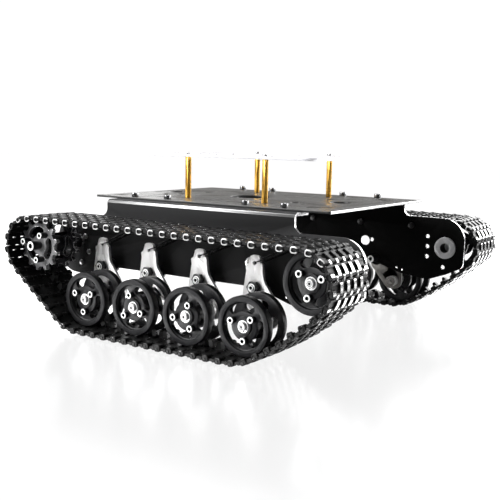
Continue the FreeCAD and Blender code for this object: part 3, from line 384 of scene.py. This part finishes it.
def floor_material():
    """White floor with a faint soft reflection, which throws less light at the model than it shows."""
    material = bpy.data.materials.new("studio_floor")
    material.use_nodes = True
    tree = material.node_tree
    tree.nodes.clear()
    output = tree.nodes.new("ShaderNodeOutputMaterial")
    glow = tree.nodes.new("ShaderNodeEmission")
    strength = tree.nodes.new("ShaderNodeMapRange")
    strength.inputs["To Min"].default_value = FLOOR_LIGHT
    strength.inputs["To Max"].default_value = FLOOR_GLOW
    tree.links.new(seen_directly(tree), strength.inputs["Value"])
    tree.links.new(strength.outputs[0], glow.inputs["Strength"])
    sheen = tree.nodes.new("ShaderNodeBsdfGlossy")
    sheen.inputs["Color"].default_value = (FLOOR_SHEEN, FLOOR_SHEEN, FLOOR_SHEEN, 1)
    sheen.inputs["Roughness"].default_value = FLOOR_ROUGHNESS
    total = tree.nodes.new("ShaderNodeAddShader")
    tree.links.new(glow.outputs[0], total.inputs[0])
    tree.links.new(sheen.outputs[0], total.inputs[1])
    tree.links.new(total.outputs[0], output.inputs["Surface"])
    return material


floor_mesh = bpy.data.meshes.new("floor")
floor_mesh.from_pydata([(-FLOOR_REACH, -FLOOR_REACH, 0), (FLOOR_REACH, -FLOOR_REACH, 0),
                        (FLOOR_REACH, FLOOR_REACH, 0), (-FLOOR_REACH, FLOOR_REACH, 0)], [], [(0, 1, 2, 3)])
floor_mesh.materials.append(floor_material())
floor = bpy.data.objects.new("floor", floor_mesh)
floor.location.z = -FLOOR_DROP
bpy.context.scene.collection.objects.link(floor)


# ---------------------------------------------------------------- CAD shapes with softened edges

EDGE_ANGLE = math.radians(32)
FLAT_ANGLE = math.radians(0.6)
WELD_REACH = 2e-6
OUTER_DEPTH = 0.05 * MM


def clean_copy(node):
    """The CAD node's mesh, welded and with flat areas joined."""
    work = bmesh.new()
    work.from_mesh(nodes[node].data)
    bmesh.ops.remove_doubles(work, verts=work.verts, dist=WELD_REACH)
    bmesh.ops.dissolve_limit(work, angle_limit=FLAT_ANGLE, verts=work.verts, edges=work.edges,
                             delimit={"NORMAL"})
    bmesh.ops.recalc_face_normals(work, faces=work.faces)
    return work


def islands(work):
    """Connected groups of faces."""
    left = set(work.faces)
    while left:
        seed = left.pop()
        group, rim = {seed}, [seed]
        while rim:
            face = rim.pop()
            for side in face.edges:
                for other in side.link_faces:
                    if other in left:
                        left.discard(other)
                        group.add(other)
                        rim.append(other)
        yield group


def softened(piece, width):
    """Rounds the piece's sharp edges by a width in millimetres, and returns the modifier."""
    soft = piece.modifiers.new("soft_edges", "BEVEL")
    soft.width = width * MM
    soft.segments = 2
    soft.limit_method = "ANGLE"
    soft.angle_limit = EDGE_ANGLE
    soft.use_clamp_overlap = True
    soft.harden_normals = True
    return soft


def finished(node, body, paints, choose=None, *, bevel, edge_paint=None):
    """A piece in place of a CAD node: same shape, with softened edges and a finish chosen for each face."""
    work = clean_copy(node)
    if choose:
        for group in islands(work):
            choose(group)
    mesh = bpy.data.meshes.new(node + "_piece")
    work.to_mesh(mesh)
    work.free()
    mesh.polygons.foreach_set("use_smooth", [True] * len(mesh.polygons))
    for name in paints:
        mesh.materials.append(paint[name])
    piece = bpy.data.objects.new(node + "_piece", mesh)
    bpy.context.scene.collection.objects.link(piece)
    soft = softened(piece, bevel)
    if edge_paint:
        mesh.materials.append(paint[edge_paint])
        soft.material = len(paints)
    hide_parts(node)
    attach(piece, body)


def outer_faces(group, axis, sign):
    """The faces of an island that lie in its outermost plane across an axis."""
    flat = [face for face in group if face.normal[axis] * sign > 0.95]
    if not flat:
        return []
    edge = max(face.calc_center_median()[axis] * sign for face in flat)
    return [face for face in flat if face.calc_center_median()[axis] * sign > edge - OUTER_DEPTH]


def span(group, axis):
    """The least and greatest coordinate of an island along an axis."""
    places = [vert.co[axis] for face in group for vert in face.verts]
    return min(places), max(places)


def outward(group):
    """+1 or -1: the way out across the vehicle, for a part on the left or on the right."""
    low, high = span(group, 1)
    return 1 if low + high > 0 else -1


# ---- deck, clear plate, standoffs and screws

DECK_FRONT = 0.12
SOCKET_MARGIN = 0.2 * MM


def deck_faces(group):
    """Top and bottom keep the finish; the front cut edge is bright, a painted highlight, and the others
    black.
    """
    for face in group:
        if abs(face.normal.z) < 0.5:
            face.material_index = 1 if face.normal.x > 0.9 and face.calc_center_median().x > DECK_FRONT else 2


def clear_faces(group):
    """The plate's edges are saw-cut, and its faces are polished."""
    for face in group:
        if abs(face.normal.z) < 0.5:
            face.material_index = 1


def screw_faces(group):
    """Socket screws: what faces up between the ends, such as a socket's floor, is black as painted shade."""
    low, high = span(group, 2)
    for face in group:
        middle = face.calc_center_median()
        if face.normal.z > 0.9 and low + SOCKET_MARGIN < middle.z < high - SOCKET_MARGIN:
            # painted shade: black on the socket's floor
            face.material_index = 1


finished("top_plate", "chassis", ["deck", "deck_front_edge_painted_highlight", "black_edge"], deck_faces, bevel=0.25)
finished("clear_deck", "chassis", ["acrylic", "acrylic_edge"], clear_faces, bevel=0.3)
finished("brass_standoffs", "chassis", ["brass"], bevel=0.3)
finished("deck_screws", "chassis", ["steel", "black_screw"], screw_faces, bevel=0.2)
finished("flange_screws", "chassis", ["socket_screw", "black_screw"], screw_faces, bevel=0.3)


# ---- side plates, motors, brackets, axles

FLANGE_UNDERSIDE = 0.1145
# range of upward slope of the bend faces that carry the painted highlight
BEND_PAINTED_HIGHLIGHT = (0.12, 0.72)


def plate_faces(group):
    """Edges that face forward are polished, with a painted highlight; the lower part of the bend under the
    deck carries a painted highlight; and the inner faces carry painted shade, the blackest.
    """
    out = outward(group)
    for face in group:
        flat_side = abs(face.normal.y) > 0.5
        high = face.calc_center_median().z > FLANGE_UNDERSIDE
        # painted highlight on the lower part of the bend, picked by the slope of its faces
        if high and BEND_PAINTED_HIGHLIGHT[0] < face.normal.z < BEND_PAINTED_HIGHLIGHT[1]:
            face.material_index = 2
        # painted shade: the inner faces get the blacker copy of the coat
        elif face.normal.y * out < -0.5:
            face.material_index = 3
        # edges that face forward get the polished finish as a painted highlight; other edges keep the coat
        elif not flat_side and not (high and abs(face.normal.z) > 0.5):
            face.material_index = 1 if face.normal.x > 0.3 else 0


def reach_of(face, centre):
    """The least and greatest distance of a face's corners from an axis across the vehicle."""
    spread = [math.hypot(vert.co.x - centre[0], vert.co.z - centre[1]) for vert in face.verts]
    return min(spread), max(spread)


def centre_of(group):
    """The middle of an island, seen from the side, as (x, z)."""
    return sum(span(group, 0)) / 2, sum(span(group, 2)) / 2


BORE_REACH, BORE_END = 4.95 * MM, 0.1165


def idler_axle_faces(group):
    """The flange and the shaft are bright, and the bore through the flange is black as painted shade."""
    centre = centre_of(group)
    for face in group:
        if reach_of(face, centre)[1] < BORE_REACH and abs(face.calc_center_median().y) < BORE_END:
            # painted shade: black in the bore
            face.material_index = 1


for side in SIDES:
    finished(f"{side}_side_plate", "chassis", ["powder", "cut_edge_painted_highlight", "powder_bend_painted_highlight", "powder_painted_shade"],
             plate_faces, bevel=0.3)
    finished(f"{side}_gear_motor", "chassis", ["motor"], bevel=0.5)
    finished(f"{side}_motor_bracket", "chassis", ["powder"], bevel=0.4)
    finished(f"{side}_idler_axle", "chassis", ["flange", "black_screw"], idler_axle_faces, bevel=0.3)


# ---- wheels, idlers and sprockets

RIM_INNER = 19.9 * MM


def rim_faces(group):
    """A satin ring on each face of the wheel, and black everywhere else."""
    centre = centre_of(group)
    for face in group:
        if abs(face.normal.y) > 0.9 and reach_of(face, centre)[0] > RIM_INNER:
            face.material_index = 1


BEARING_WIDTH = (10 * MM, 11 * MM)


def bolt_faces(group):
    """Long bolts and caps: black, with a bright ring round the socket; bearings are bright."""
    low, high = span(group, 0)
    if BEARING_WIDTH[0] < high - low < BEARING_WIDTH[1]:
        for face in group:
            face.material_index = 2
        return
    for face in outer_faces(group, 1, outward(group)):
        face.material_index = 1


RING_STEPS = 48


def turned(name, profile, centre, sign, paints):
    """A turned piece about an axis across the vehicle, from (radius, depth, paint) rings in millimetres."""
    verts, faces, finishes = [], [], []
    for radius, depth, _ in profile:
        for step in range(RING_STEPS):
            angle = 2 * math.pi * step / RING_STEPS
            verts.append((centre.x + radius * MM * math.cos(angle), centre.y + sign * depth * MM,
                          centre.z + radius * MM * math.sin(angle)))
    for ring, (_, _, finish) in enumerate(profile[:-1]):
        for step in range(RING_STEPS):
            after = (step + 1) % RING_STEPS
            face = (ring * RING_STEPS + step, ring * RING_STEPS + after,
                    (ring + 1) * RING_STEPS + after, (ring + 1) * RING_STEPS + step)
            faces.append(face if sign > 0 else face[::-1])
            finishes.append(finish)
    mesh = bpy.data.meshes.new(name)
    mesh.from_pydata(verts, [], faces)
    for coat in paints:
        mesh.materials.append(paint[coat])
    mesh.polygons.foreach_set("material_index", finishes)
    piece = bpy.data.objects.new(name, mesh)
    bpy.context.scene.collection.objects.link(piece)
    return piece


SPROCKET_MIDDLE = 0.155


def sprocket_faces(group):
    """The outer toothed plate is bare; the inner one and the barrels are black."""
    for face in group:
        if abs(face.calc_center_median().y) < SPROCKET_MIDDLE:
            face.material_index = 1


# the third value picks the paint, 0 bright and 1 black; the black recessed rings and bore of the races, and
# the black groove and centre of the axle end, are painted shade
BEARING_RINGS = [(5.2, -0.3, 0), (5.2, 0.1, 0), (4.3, 0.1, 1), (4.2, -0.05, 1), (3.3, -0.05, 1),
                 (2.7, -0.05, 1), (2.7, -0.3, 1)]
BEARING_FACE = 13.5 * MM
AXLE_RINGS = [(3.0, -0.1, 0), (2.95, 0.08, 0), (2.2, 0.08, 1), (2.15, 0.02, 1), (1.75, 0.02, 0),
              (1.7, 0.08, 0), (1.2, 0.08, 1), (1.15, 0.02, 1), (0.05, 0.02, 1)]
AXLE_FACE = 15.9 * MM


def hub_rings(side, joint, wheel, holder):
    """Races on both faces of a wheel's hub, and the turned end of the axle, which stays with its holder;
    their recessed rings are black as painted shade.
    """
    centre = Vector(joints[joint]["pos_m"])
    out = SIDES[side]
    for label, sign in (("outer", out), ("inner", -out)):
        spot = centre + Vector((0, sign * BEARING_FACE, 0))
        races = turned(f"{joint}_{label}_races", BEARING_RINGS, spot, sign, ["screw_face", "black_screw"])
        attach(races, wheel)
    spot = centre + Vector((0, out * AXLE_FACE, 0))
    end = turned(f"{joint}_axle_end", AXLE_RINGS, spot, out, ["screw_face", "black_screw"])
    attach(end, holder)


for side in SIDES:
    for number in range(1, ARM_COUNT + 1):
        wheel = f"{side}_road_wheel_{number}"
        finished(f"{side}_wheel_{number}", wheel, ["wheel", "rim"], rim_faces, bevel=0.3)
        finished(f"{side}_wheel_hardware_{number}", wheel, ["black_screw", "screw_face", "steel"], bolt_faces,
                 bevel=0.25)
        hub_rings(side, f"{side}_wheel_{number}_spin", wheel,
                  f"{side}_swing_arm_{number}")
    finished(f"{side}_idler", f"{side}_idler_wheel", ["wheel", "rim"], rim_faces, bevel=0.3)
    finished(f"{side}_idler_hardware", f"{side}_idler_wheel", ["black_screw", "screw_face", "steel"],
             bolt_faces, bevel=0.25)
    hub_rings(side, f"{side}_idler_spin", f"{side}_idler_wheel",
              "chassis")
    # the sprocket's rounded edges take the bright painted highlight
    finished(f"{side}_sprocket", f"{side}_drive_sprocket", ["sprocket", "wheel"], sprocket_faces, bevel=0.3,
             edge_paint="sprocket_edge")
    finished(f"{side}_sprocket_hardware", f"{side}_drive_sprocket", ["black_screw", "screw_face", "steel"],
             bolt_faces, bevel=0.25)


# ---- arms, pivots and anchors

def arm_faces(group):
    """The side towards the hull, which catches little light, has painted shade: a darker copy of the
    aluminium.
    """
    out = outward(group)
    for face in group:
        if face.normal.y * out < -0.5:
            # painted shade on the side towards the hull
            face.material_index = 1


def pivot_faces(group):
    """Pivot bolts and nuts: black barrels with polished ends."""
    for face in outer_faces(group, 1, 1) + outer_faces(group, 1, -1):
        face.material_index = 1


def anchor_faces(group):
    """Spring anchors: black, with a polished outer end."""
    for face in outer_faces(group, 1, outward(group)):
        face.material_index = 1


for side in SIDES:
    for number in range(1, ARM_COUNT + 1):
        finished(f"{side}_arm_{number}", f"{side}_swing_arm_{number}", ["arm", "arm_painted_shade"], arm_faces,
                 bevel=0.3)
finished("arm_pivots", "chassis", ["black_screw", "screw_face"], pivot_faces, bevel=0.25)
finished("spring_anchors", "chassis", ["black_screw", "screw_face"], anchor_faces, bevel=0.2)


# ---------------------------------------------------------------- springs

SPRING_RADIUS, SPRING_WIRE = 2.05 * MM, 0.52 * MM
SPRING_TURNS, TURN_STEPS = 17, 14
LOOP_SWEEP, LOOP_STEPS = 330, 12
LOOP_OVERLAP, COIL_AFTER_LOOP, COIL_BEFORE_ANCHOR = 0.2 * MM, 1.6 * MM, 2.2 * MM
WIRE_ROUNDNESS = 2


def spring_line(start, end, hook_radius, anchor_radius):
    """Centre line of an extension spring between two hooks, start at the arm and end at the anchor."""
    start, end = Vector(start), Vector(end)
    along = (end - start).normalized()
    across = Vector((0, 1, 0))
    aside = along.cross(across)
    line = []
    # the arm's loop goes through the hole in the arm, so it stands across the plate
    loop_centre = start + along * (hook_radius - LOOP_OVERLAP)
    for step in range(LOOP_STEPS + 1):
        angle = math.radians(200 - LOOP_SWEEP * step / LOOP_STEPS)
        line.append(loop_centre + along * hook_radius * -math.cos(angle)
                    + across * hook_radius * math.sin(angle))
    first = loop_centre + along * (hook_radius + COIL_AFTER_LOOP)
    last = end - along * (anchor_radius + COIL_BEFORE_ANCHOR)
    for step in range(SPRING_TURNS * TURN_STEPS + 1):
        share = step / (SPRING_TURNS * TURN_STEPS)
        angle = 2 * math.pi * SPRING_TURNS * share
        middle = first.lerp(last, share)
        line.append(middle + (across * math.cos(angle) + aside * math.sin(angle)) * SPRING_RADIUS)
    for step in range(LOOP_STEPS + 1):
        angle = math.radians(-150 + LOOP_SWEEP * step / LOOP_STEPS)
        line.append(end - along * anchor_radius * math.cos(angle) + aside * anchor_radius * math.sin(angle))
    return line


def tube_along(name, line, radius):
    """A round wire mesh that follows a line of points."""
    curve = bpy.data.curves.new(name, "CURVE")
    curve.dimensions = "3D"
    spline = curve.splines.new("POLY")
    spline.points.add(len(line) - 1)
    for point, place in zip(spline.points, line):
        point.co = (*place, 1)
    curve.bevel_depth = radius
    curve.bevel_resolution = WIRE_ROUNDNESS
    curve.use_fill_caps = True
    holder = bpy.data.objects.new(name + "_line", curve)
    bpy.context.scene.collection.objects.link(holder)
    bpy.context.view_layer.update()
    mesh = bpy.data.meshes.new_from_object(holder.evaluated_get(bpy.context.evaluated_depsgraph_get()))
    bpy.data.objects.remove(holder)
    mesh.polygons.foreach_set("use_smooth", [True] * len(mesh.polygons))
    piece = bpy.data.objects.new(name, mesh)
    bpy.context.scene.collection.objects.link(piece)
    return piece


HOOK = Vector((-0.5, 0, 20.4)) * MM
ANCHOR = Vector((38.8, 0, 37.7)) * MM
HOOK_LOOP, ANCHOR_LOOP = 4.0 * MM, 2.1 * MM

for side in SIDES:
    for number in range(1, ARM_COUNT + 1):
        pivot = Vector(joints[f"{side}_arm_{number}_swing"]["pos_m"])
        hook, anchor = pivot + HOOK, pivot + ANCHOR
        line = spring_line(hook, anchor, HOOK_LOOP, ANCHOR_LOOP)
        spring = tube_along(f"{side}_spring_{number}_wire", line, SPRING_WIRE)
        spring.data.materials.clear()
        spring.data.materials.append(paint["spring"])
        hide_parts(f"{side}_spring_{number}")
        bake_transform(spring)


# ---------------------------------------------------------------- tracks

# the link's sizes are in millimetres, with its rear pin at x = 0 and z = 0
LINK_WIDTH = 58.7
LANES, LANE_GAP = 11, 0.4
PIN_HOLE, EYE = 1.08, 2.02
WEB_SETBACK, WEB_LOW, WEB_HIGH = 3.0, -0.8, 1.3
FINGER_ROOT, FINGER_LOW = 3.4, -1.2
END_LEFT, END_RIGHT, END_LOW, END_HIGH, END_CORNER = -2.1, 4.2, -2.0, 3.3, 1.9
END_SETBACK, CHAMFER = 1.2, 0.45
RIM, RECESS = 0.95, 0.9
RIM_GAP = [(-3.0, -0.7), (-0.9, -0.7), (-0.9, 1.7), (-3.0, 1.7)]
HORN_PLACE, HORN_HALF = 2.3, 2.5
TONGUE_INSET, STUB_INSET = 0.5, 1.2
TREAD_DEPTH = -2.0
CUT_PAST = 1
TRACK_BEVEL = 0.22

# a link is in the top run when the z of its inward direction is below this
TOP_RUN = -0.8
PIN_REACH = 2.2 * MM
# metres that a pin behind the last one seems farther away, so that the line keeps its heading
BEHIND_PENALTY = 1

TRACK_PAINTS = ("track", "track_end", "track_rim", "track_edge", "tread")
PLAIN, END, RIM_HIGHLIGHT, EDGE_HIGHLIGHT, TREAD = range(len(TRACK_PAINTS))


def prism(name, outline, low, high, end=None):
    """A solid that carries an (x, z) outline from one y to another, where it may end as a second outline."""
    count = len(outline)
    verts = [(x * MM, low * MM, z * MM) for x, z in outline]
    verts += [(x * MM, high * MM, z * MM) for x, z in end or outline]
    faces = [tuple(range(count)), tuple(range(2 * count - 1, count - 1, -1))]
    faces += [(i, i + count, (i + 1) % count + count, (i + 1) % count) for i in range(count)]
    mesh = bpy.data.meshes.new(name)
    mesh.from_pydata(verts, [], faces)
    work = bmesh.new()
    work.from_mesh(mesh)
    bmesh.ops.recalc_face_normals(work, faces=work.faces)
    work.to_mesh(mesh)
    work.free()
    return mesh


def arc(cx, cz, radius, start, end, steps):
    """Points along an arc from a start angle to an end angle, in degrees."""
    angles = [math.radians(start + (end - start) * i / steps) for i in range(steps + 1)]
    return [(cx + radius * math.cos(angle), cz + radius * math.sin(angle)) for angle in angles]


def joined(name, meshes, operation="UNION"):
    """One closed solid: the first, with the others added to it or cut from it."""
    base = bpy.data.objects.new(name, meshes[0])
    bpy.context.scene.collection.objects.link(base)
    helpers = bpy.data.collections.new(name + "_parts")
    bpy.context.scene.collection.children.link(helpers)
    for index, mesh in enumerate(meshes[1:]):
        helper = bpy.data.objects.new(f"{name}_{index}", mesh)
        helpers.objects.link(helper)
    tool = base.modifiers.new("join", "BOOLEAN")
    tool.operation = operation
    tool.operand_type = "COLLECTION"
    tool.collection = helpers
    tool.solver = "EXACT"
    tool.use_self = False
    bpy.context.view_layer.update()
    result = bpy.data.meshes.new_from_object(base.evaluated_get(bpy.context.evaluated_depsgraph_get()))
    for helper in list(helpers.objects):
        bpy.data.objects.remove(helper)
    bpy.data.collections.remove(helpers)
    bpy.data.objects.remove(base)
    return result


def end_eye(inset):
    """The rounded outline of a link's outermost knuckle, drawn in by an inset."""
    left, right, low, high = END_LEFT + inset, END_RIGHT - inset, END_LOW + inset, END_HIGH - inset
    corner = END_CORNER - inset / 2
    return (arc(left + corner, low + corner, corner, 180, 270, 5)
            + arc(right - corner, low + corner, corner, 270, 360, 5)
            + arc(right - corner, high - corner, corner, 0, 90, 5)
            + arc(left + corner, high - corner, corner, 90, 180, 5))


def tongue_outline(pitch):
    """A raised strip from the bar to the rear eye and round it."""
    return ([(pitch * 0.66, -0.8), (pitch * 0.66, -2.1), (pitch * 0.58, -2.4), (pitch * 0.3, -2.4)]
            + arc(0, 0, EYE - 0.05, 270, 205, 6) + [(-0.6, 0.2), (1.0, -0.6)])


def stub_outline(pitch):
    """A short raised strip from the bar to the front eye."""
    return ([(pitch * 0.8, -0.8), (pitch * 0.8, -2.2)] + arc(pitch, 0, 2.25, 270, 300, 3)
            + [(pitch, -0.6)])


def horn_outline(pitch):
    """The guide horn, which runs between a wheel's two discs."""
    middle = pitch / 2
    return ([(middle - 3.2, 1.0), (middle - 1.9, 6.6)] + arc(middle, 6.4, 1.75, 165, 15, 6)
            + [(middle + 1.9, 6.6), (middle + 3.2, 1.0)])


def link_mesh(pitch):
    """One track link: rear pin at x = 0, front pin at +x, +z towards the wheels, -z to the ground."""
    half, lane = LINK_WIDTH / 2, LINK_WIDTH / LANES
    inside = half - END_SETBACK
    web = [(WEB_SETBACK, WEB_LOW), (pitch - WEB_SETBACK, WEB_LOW),
           (pitch - WEB_SETBACK, WEB_HIGH), (WEB_SETBACK, WEB_HIGH)]
    parts = [prism("web", web, -inside, inside)]
    bar = [(0.56, -0.7), (0.58, -1.2), (0.62, -1.5), (0.72, -1.5), (0.75, -1.2), (0.76, -0.7)]
    parts.append(prism("bar", [(pitch * x, z) for x, z in bar], -inside, inside))
    for index in range(LANES):
        low = -half + index * lane + LANE_GAP / 2
        high = low + lane - LANE_GAP
        if index in (0, LANES - 1):
            # the outermost knuckles are chamfered round their outer ends
            side = -1 if index == 0 else 1
            inner = high if index == 0 else low
            outer = side * (half - CHAMFER)
            parts.append(prism("end_eye", end_eye(0), min(inner, outer), max(inner, outer)))
            parts.append(prism("end_chamfer", end_eye(0), outer, side * half, end_eye(CHAMFER)))
        elif index % 2 == 0:
            body = arc(0, 0, EYE, 90, 270, 14) + [(FINGER_ROOT, FINGER_LOW), (FINGER_ROOT, WEB_HIGH)]
            parts.append(prism("finger", body, low, high))
            parts.append(prism("tongue", tongue_outline(pitch), low + TONGUE_INSET, high - TONGUE_INSET))
        else:
            root = pitch - FINGER_ROOT
            body = arc(pitch, 0, EYE, -90, 90, 14) + [(root, WEB_HIGH), (root, FINGER_LOW)]
            parts.append(prism("finger", body, low, high))
            parts.append(prism("stub", stub_outline(pitch), low + STUB_INSET, high - STUB_INSET))
    parts.append(prism("horn", horn_outline(pitch), HORN_PLACE - HORN_HALF, HORN_PLACE + HORN_HALF))
    solid = joined("link_union", parts)
    past = half + CUT_PAST
    cuts = [prism("hole", arc(x, 0, PIN_HOLE, 0, 345, 23), -past, past) for x in (0, pitch)]
    # each end is hollowed out, and its rim is open on one side
    for shape in (end_eye(RIM), RIM_GAP):
        cuts += [prism("recess", shape, -past, -half + RECESS), prism("recess", shape, half - RECESS, past)]
    mesh = joined("link_drilled", [solid] + cuts, "DIFFERENCE")
    edge = (half - CHAMFER) * MM
    for face in mesh.polygons:
        across = abs(face.normal.y)
        # the end chamfers get the painted highlight, and the outermost tread faces the bright finish of wear
        # and painted highlight
        if abs(face.center.y) > edge and across > 0.3:
            face.material_index = RIM_HIGHLIGHT
        elif face.normal.z < -0.85 and face.center.z < TREAD_DEPTH * MM:
            face.material_index = TREAD
        else:
            face.material_index = END if across >= 0.9 else PLAIN
    return mesh


def pin_places(node):
    """The pins' centres in the XZ plane, in order along the track."""
    data = np.array([v.co for v in nodes[node].data.vertices])
    spots = []
    for x, _, z in data:
        near = next((spot for spot in spots
                     if abs(spot[0] - x) < PIN_REACH and abs(spot[1] - z) < PIN_REACH), None)
        if near is None:
            near = [x, z, []]
            spots.append(near)
        near[2].append((x, z))
    centres = []
    for _, _, members in spots:
        cloud = np.array(members)
        centres.append(Vector(((cloud[:, 0].min() + cloud[:, 0].max()) / 2, 0,
                               (cloud[:, 1].min() + cloud[:, 1].max()) / 2)))
    line = [min(centres, key=lambda c: (round(c.z, 4), c.x))]
    left = [c for c in centres if c is not line[0]]
    heading = Vector((1, 0, 0))
    while left:
        here = line[-1]
        ahead = min(left, key=lambda c: (c - here).length + BEHIND_PENALTY * ((c - here).dot(heading) <= 0))
        heading = (ahead - here).normalized()
        line.append(ahead)
        left = [c for c in left if c is not ahead]
    return line


def track(side, sign, link):
    """All the links of one side, each from its rear pin to the next one."""
    pins = pin_places(f"{side}_track_pins")
    low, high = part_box(f"{side}_track_links")
    middle = (low.y + high.y) / 2
    work = bmesh.new()
    for index, rear in enumerate(pins):
        front = pins[(index + 1) % len(pins)]
        along = (front - rear).normalized()
        inward = Vector((-along.z, 0, along.x))
        turn = Matrix((along, Vector((0, -sign, 0)), inward)).transposed().to_4x4()
        piece = link.copy()
        # the links along the top keep their rims' painted highlight, and the others their bright treads, worn
        # and with a painted highlight; the other mark is painted dark
        painted_out_mark, dark = (TREAD, PLAIN) if inward.z < TOP_RUN else (RIM_HIGHLIGHT, END)
        for face in piece.polygons:
            if face.material_index == painted_out_mark:
                face.material_index = dark
        piece.transform(Matrix.Translation((rear.x, middle, rear.z)) @ turn)
        if turn.determinant() < 0:
            piece.flip_normals()
        work.from_mesh(piece)
        bpy.data.meshes.remove(piece)
    mesh = bpy.data.meshes.new(f"{side}_track")
    work.to_mesh(mesh)
    work.free()
    for name in TRACK_PAINTS:
        mesh.materials.append(paint[name])
    mesh.polygons.foreach_set("use_smooth", [True] * len(mesh.polygons))
    piece = bpy.data.objects.new(f"{side}_track", mesh)
    bpy.context.scene.collection.objects.link(piece)
    # the rounded edges of every link take the bright painted highlight
    softened(piece, TRACK_BEVEL).material = EDGE_HIGHLIGHT
    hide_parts(f"{side}_track_links")
    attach(piece, "chassis")


PINS = pin_places("right_track_pins")
LINK = link_mesh((PINS[1] - PINS[0]).length / MM)
for side, sign in SIDES.items():
    track(side, sign, LINK)
    pin_materials = nodes[f"{side}_track_pins"].data.materials
    for index in range(len(pin_materials)):
        pin_materials[index] = paint["black_screw"]
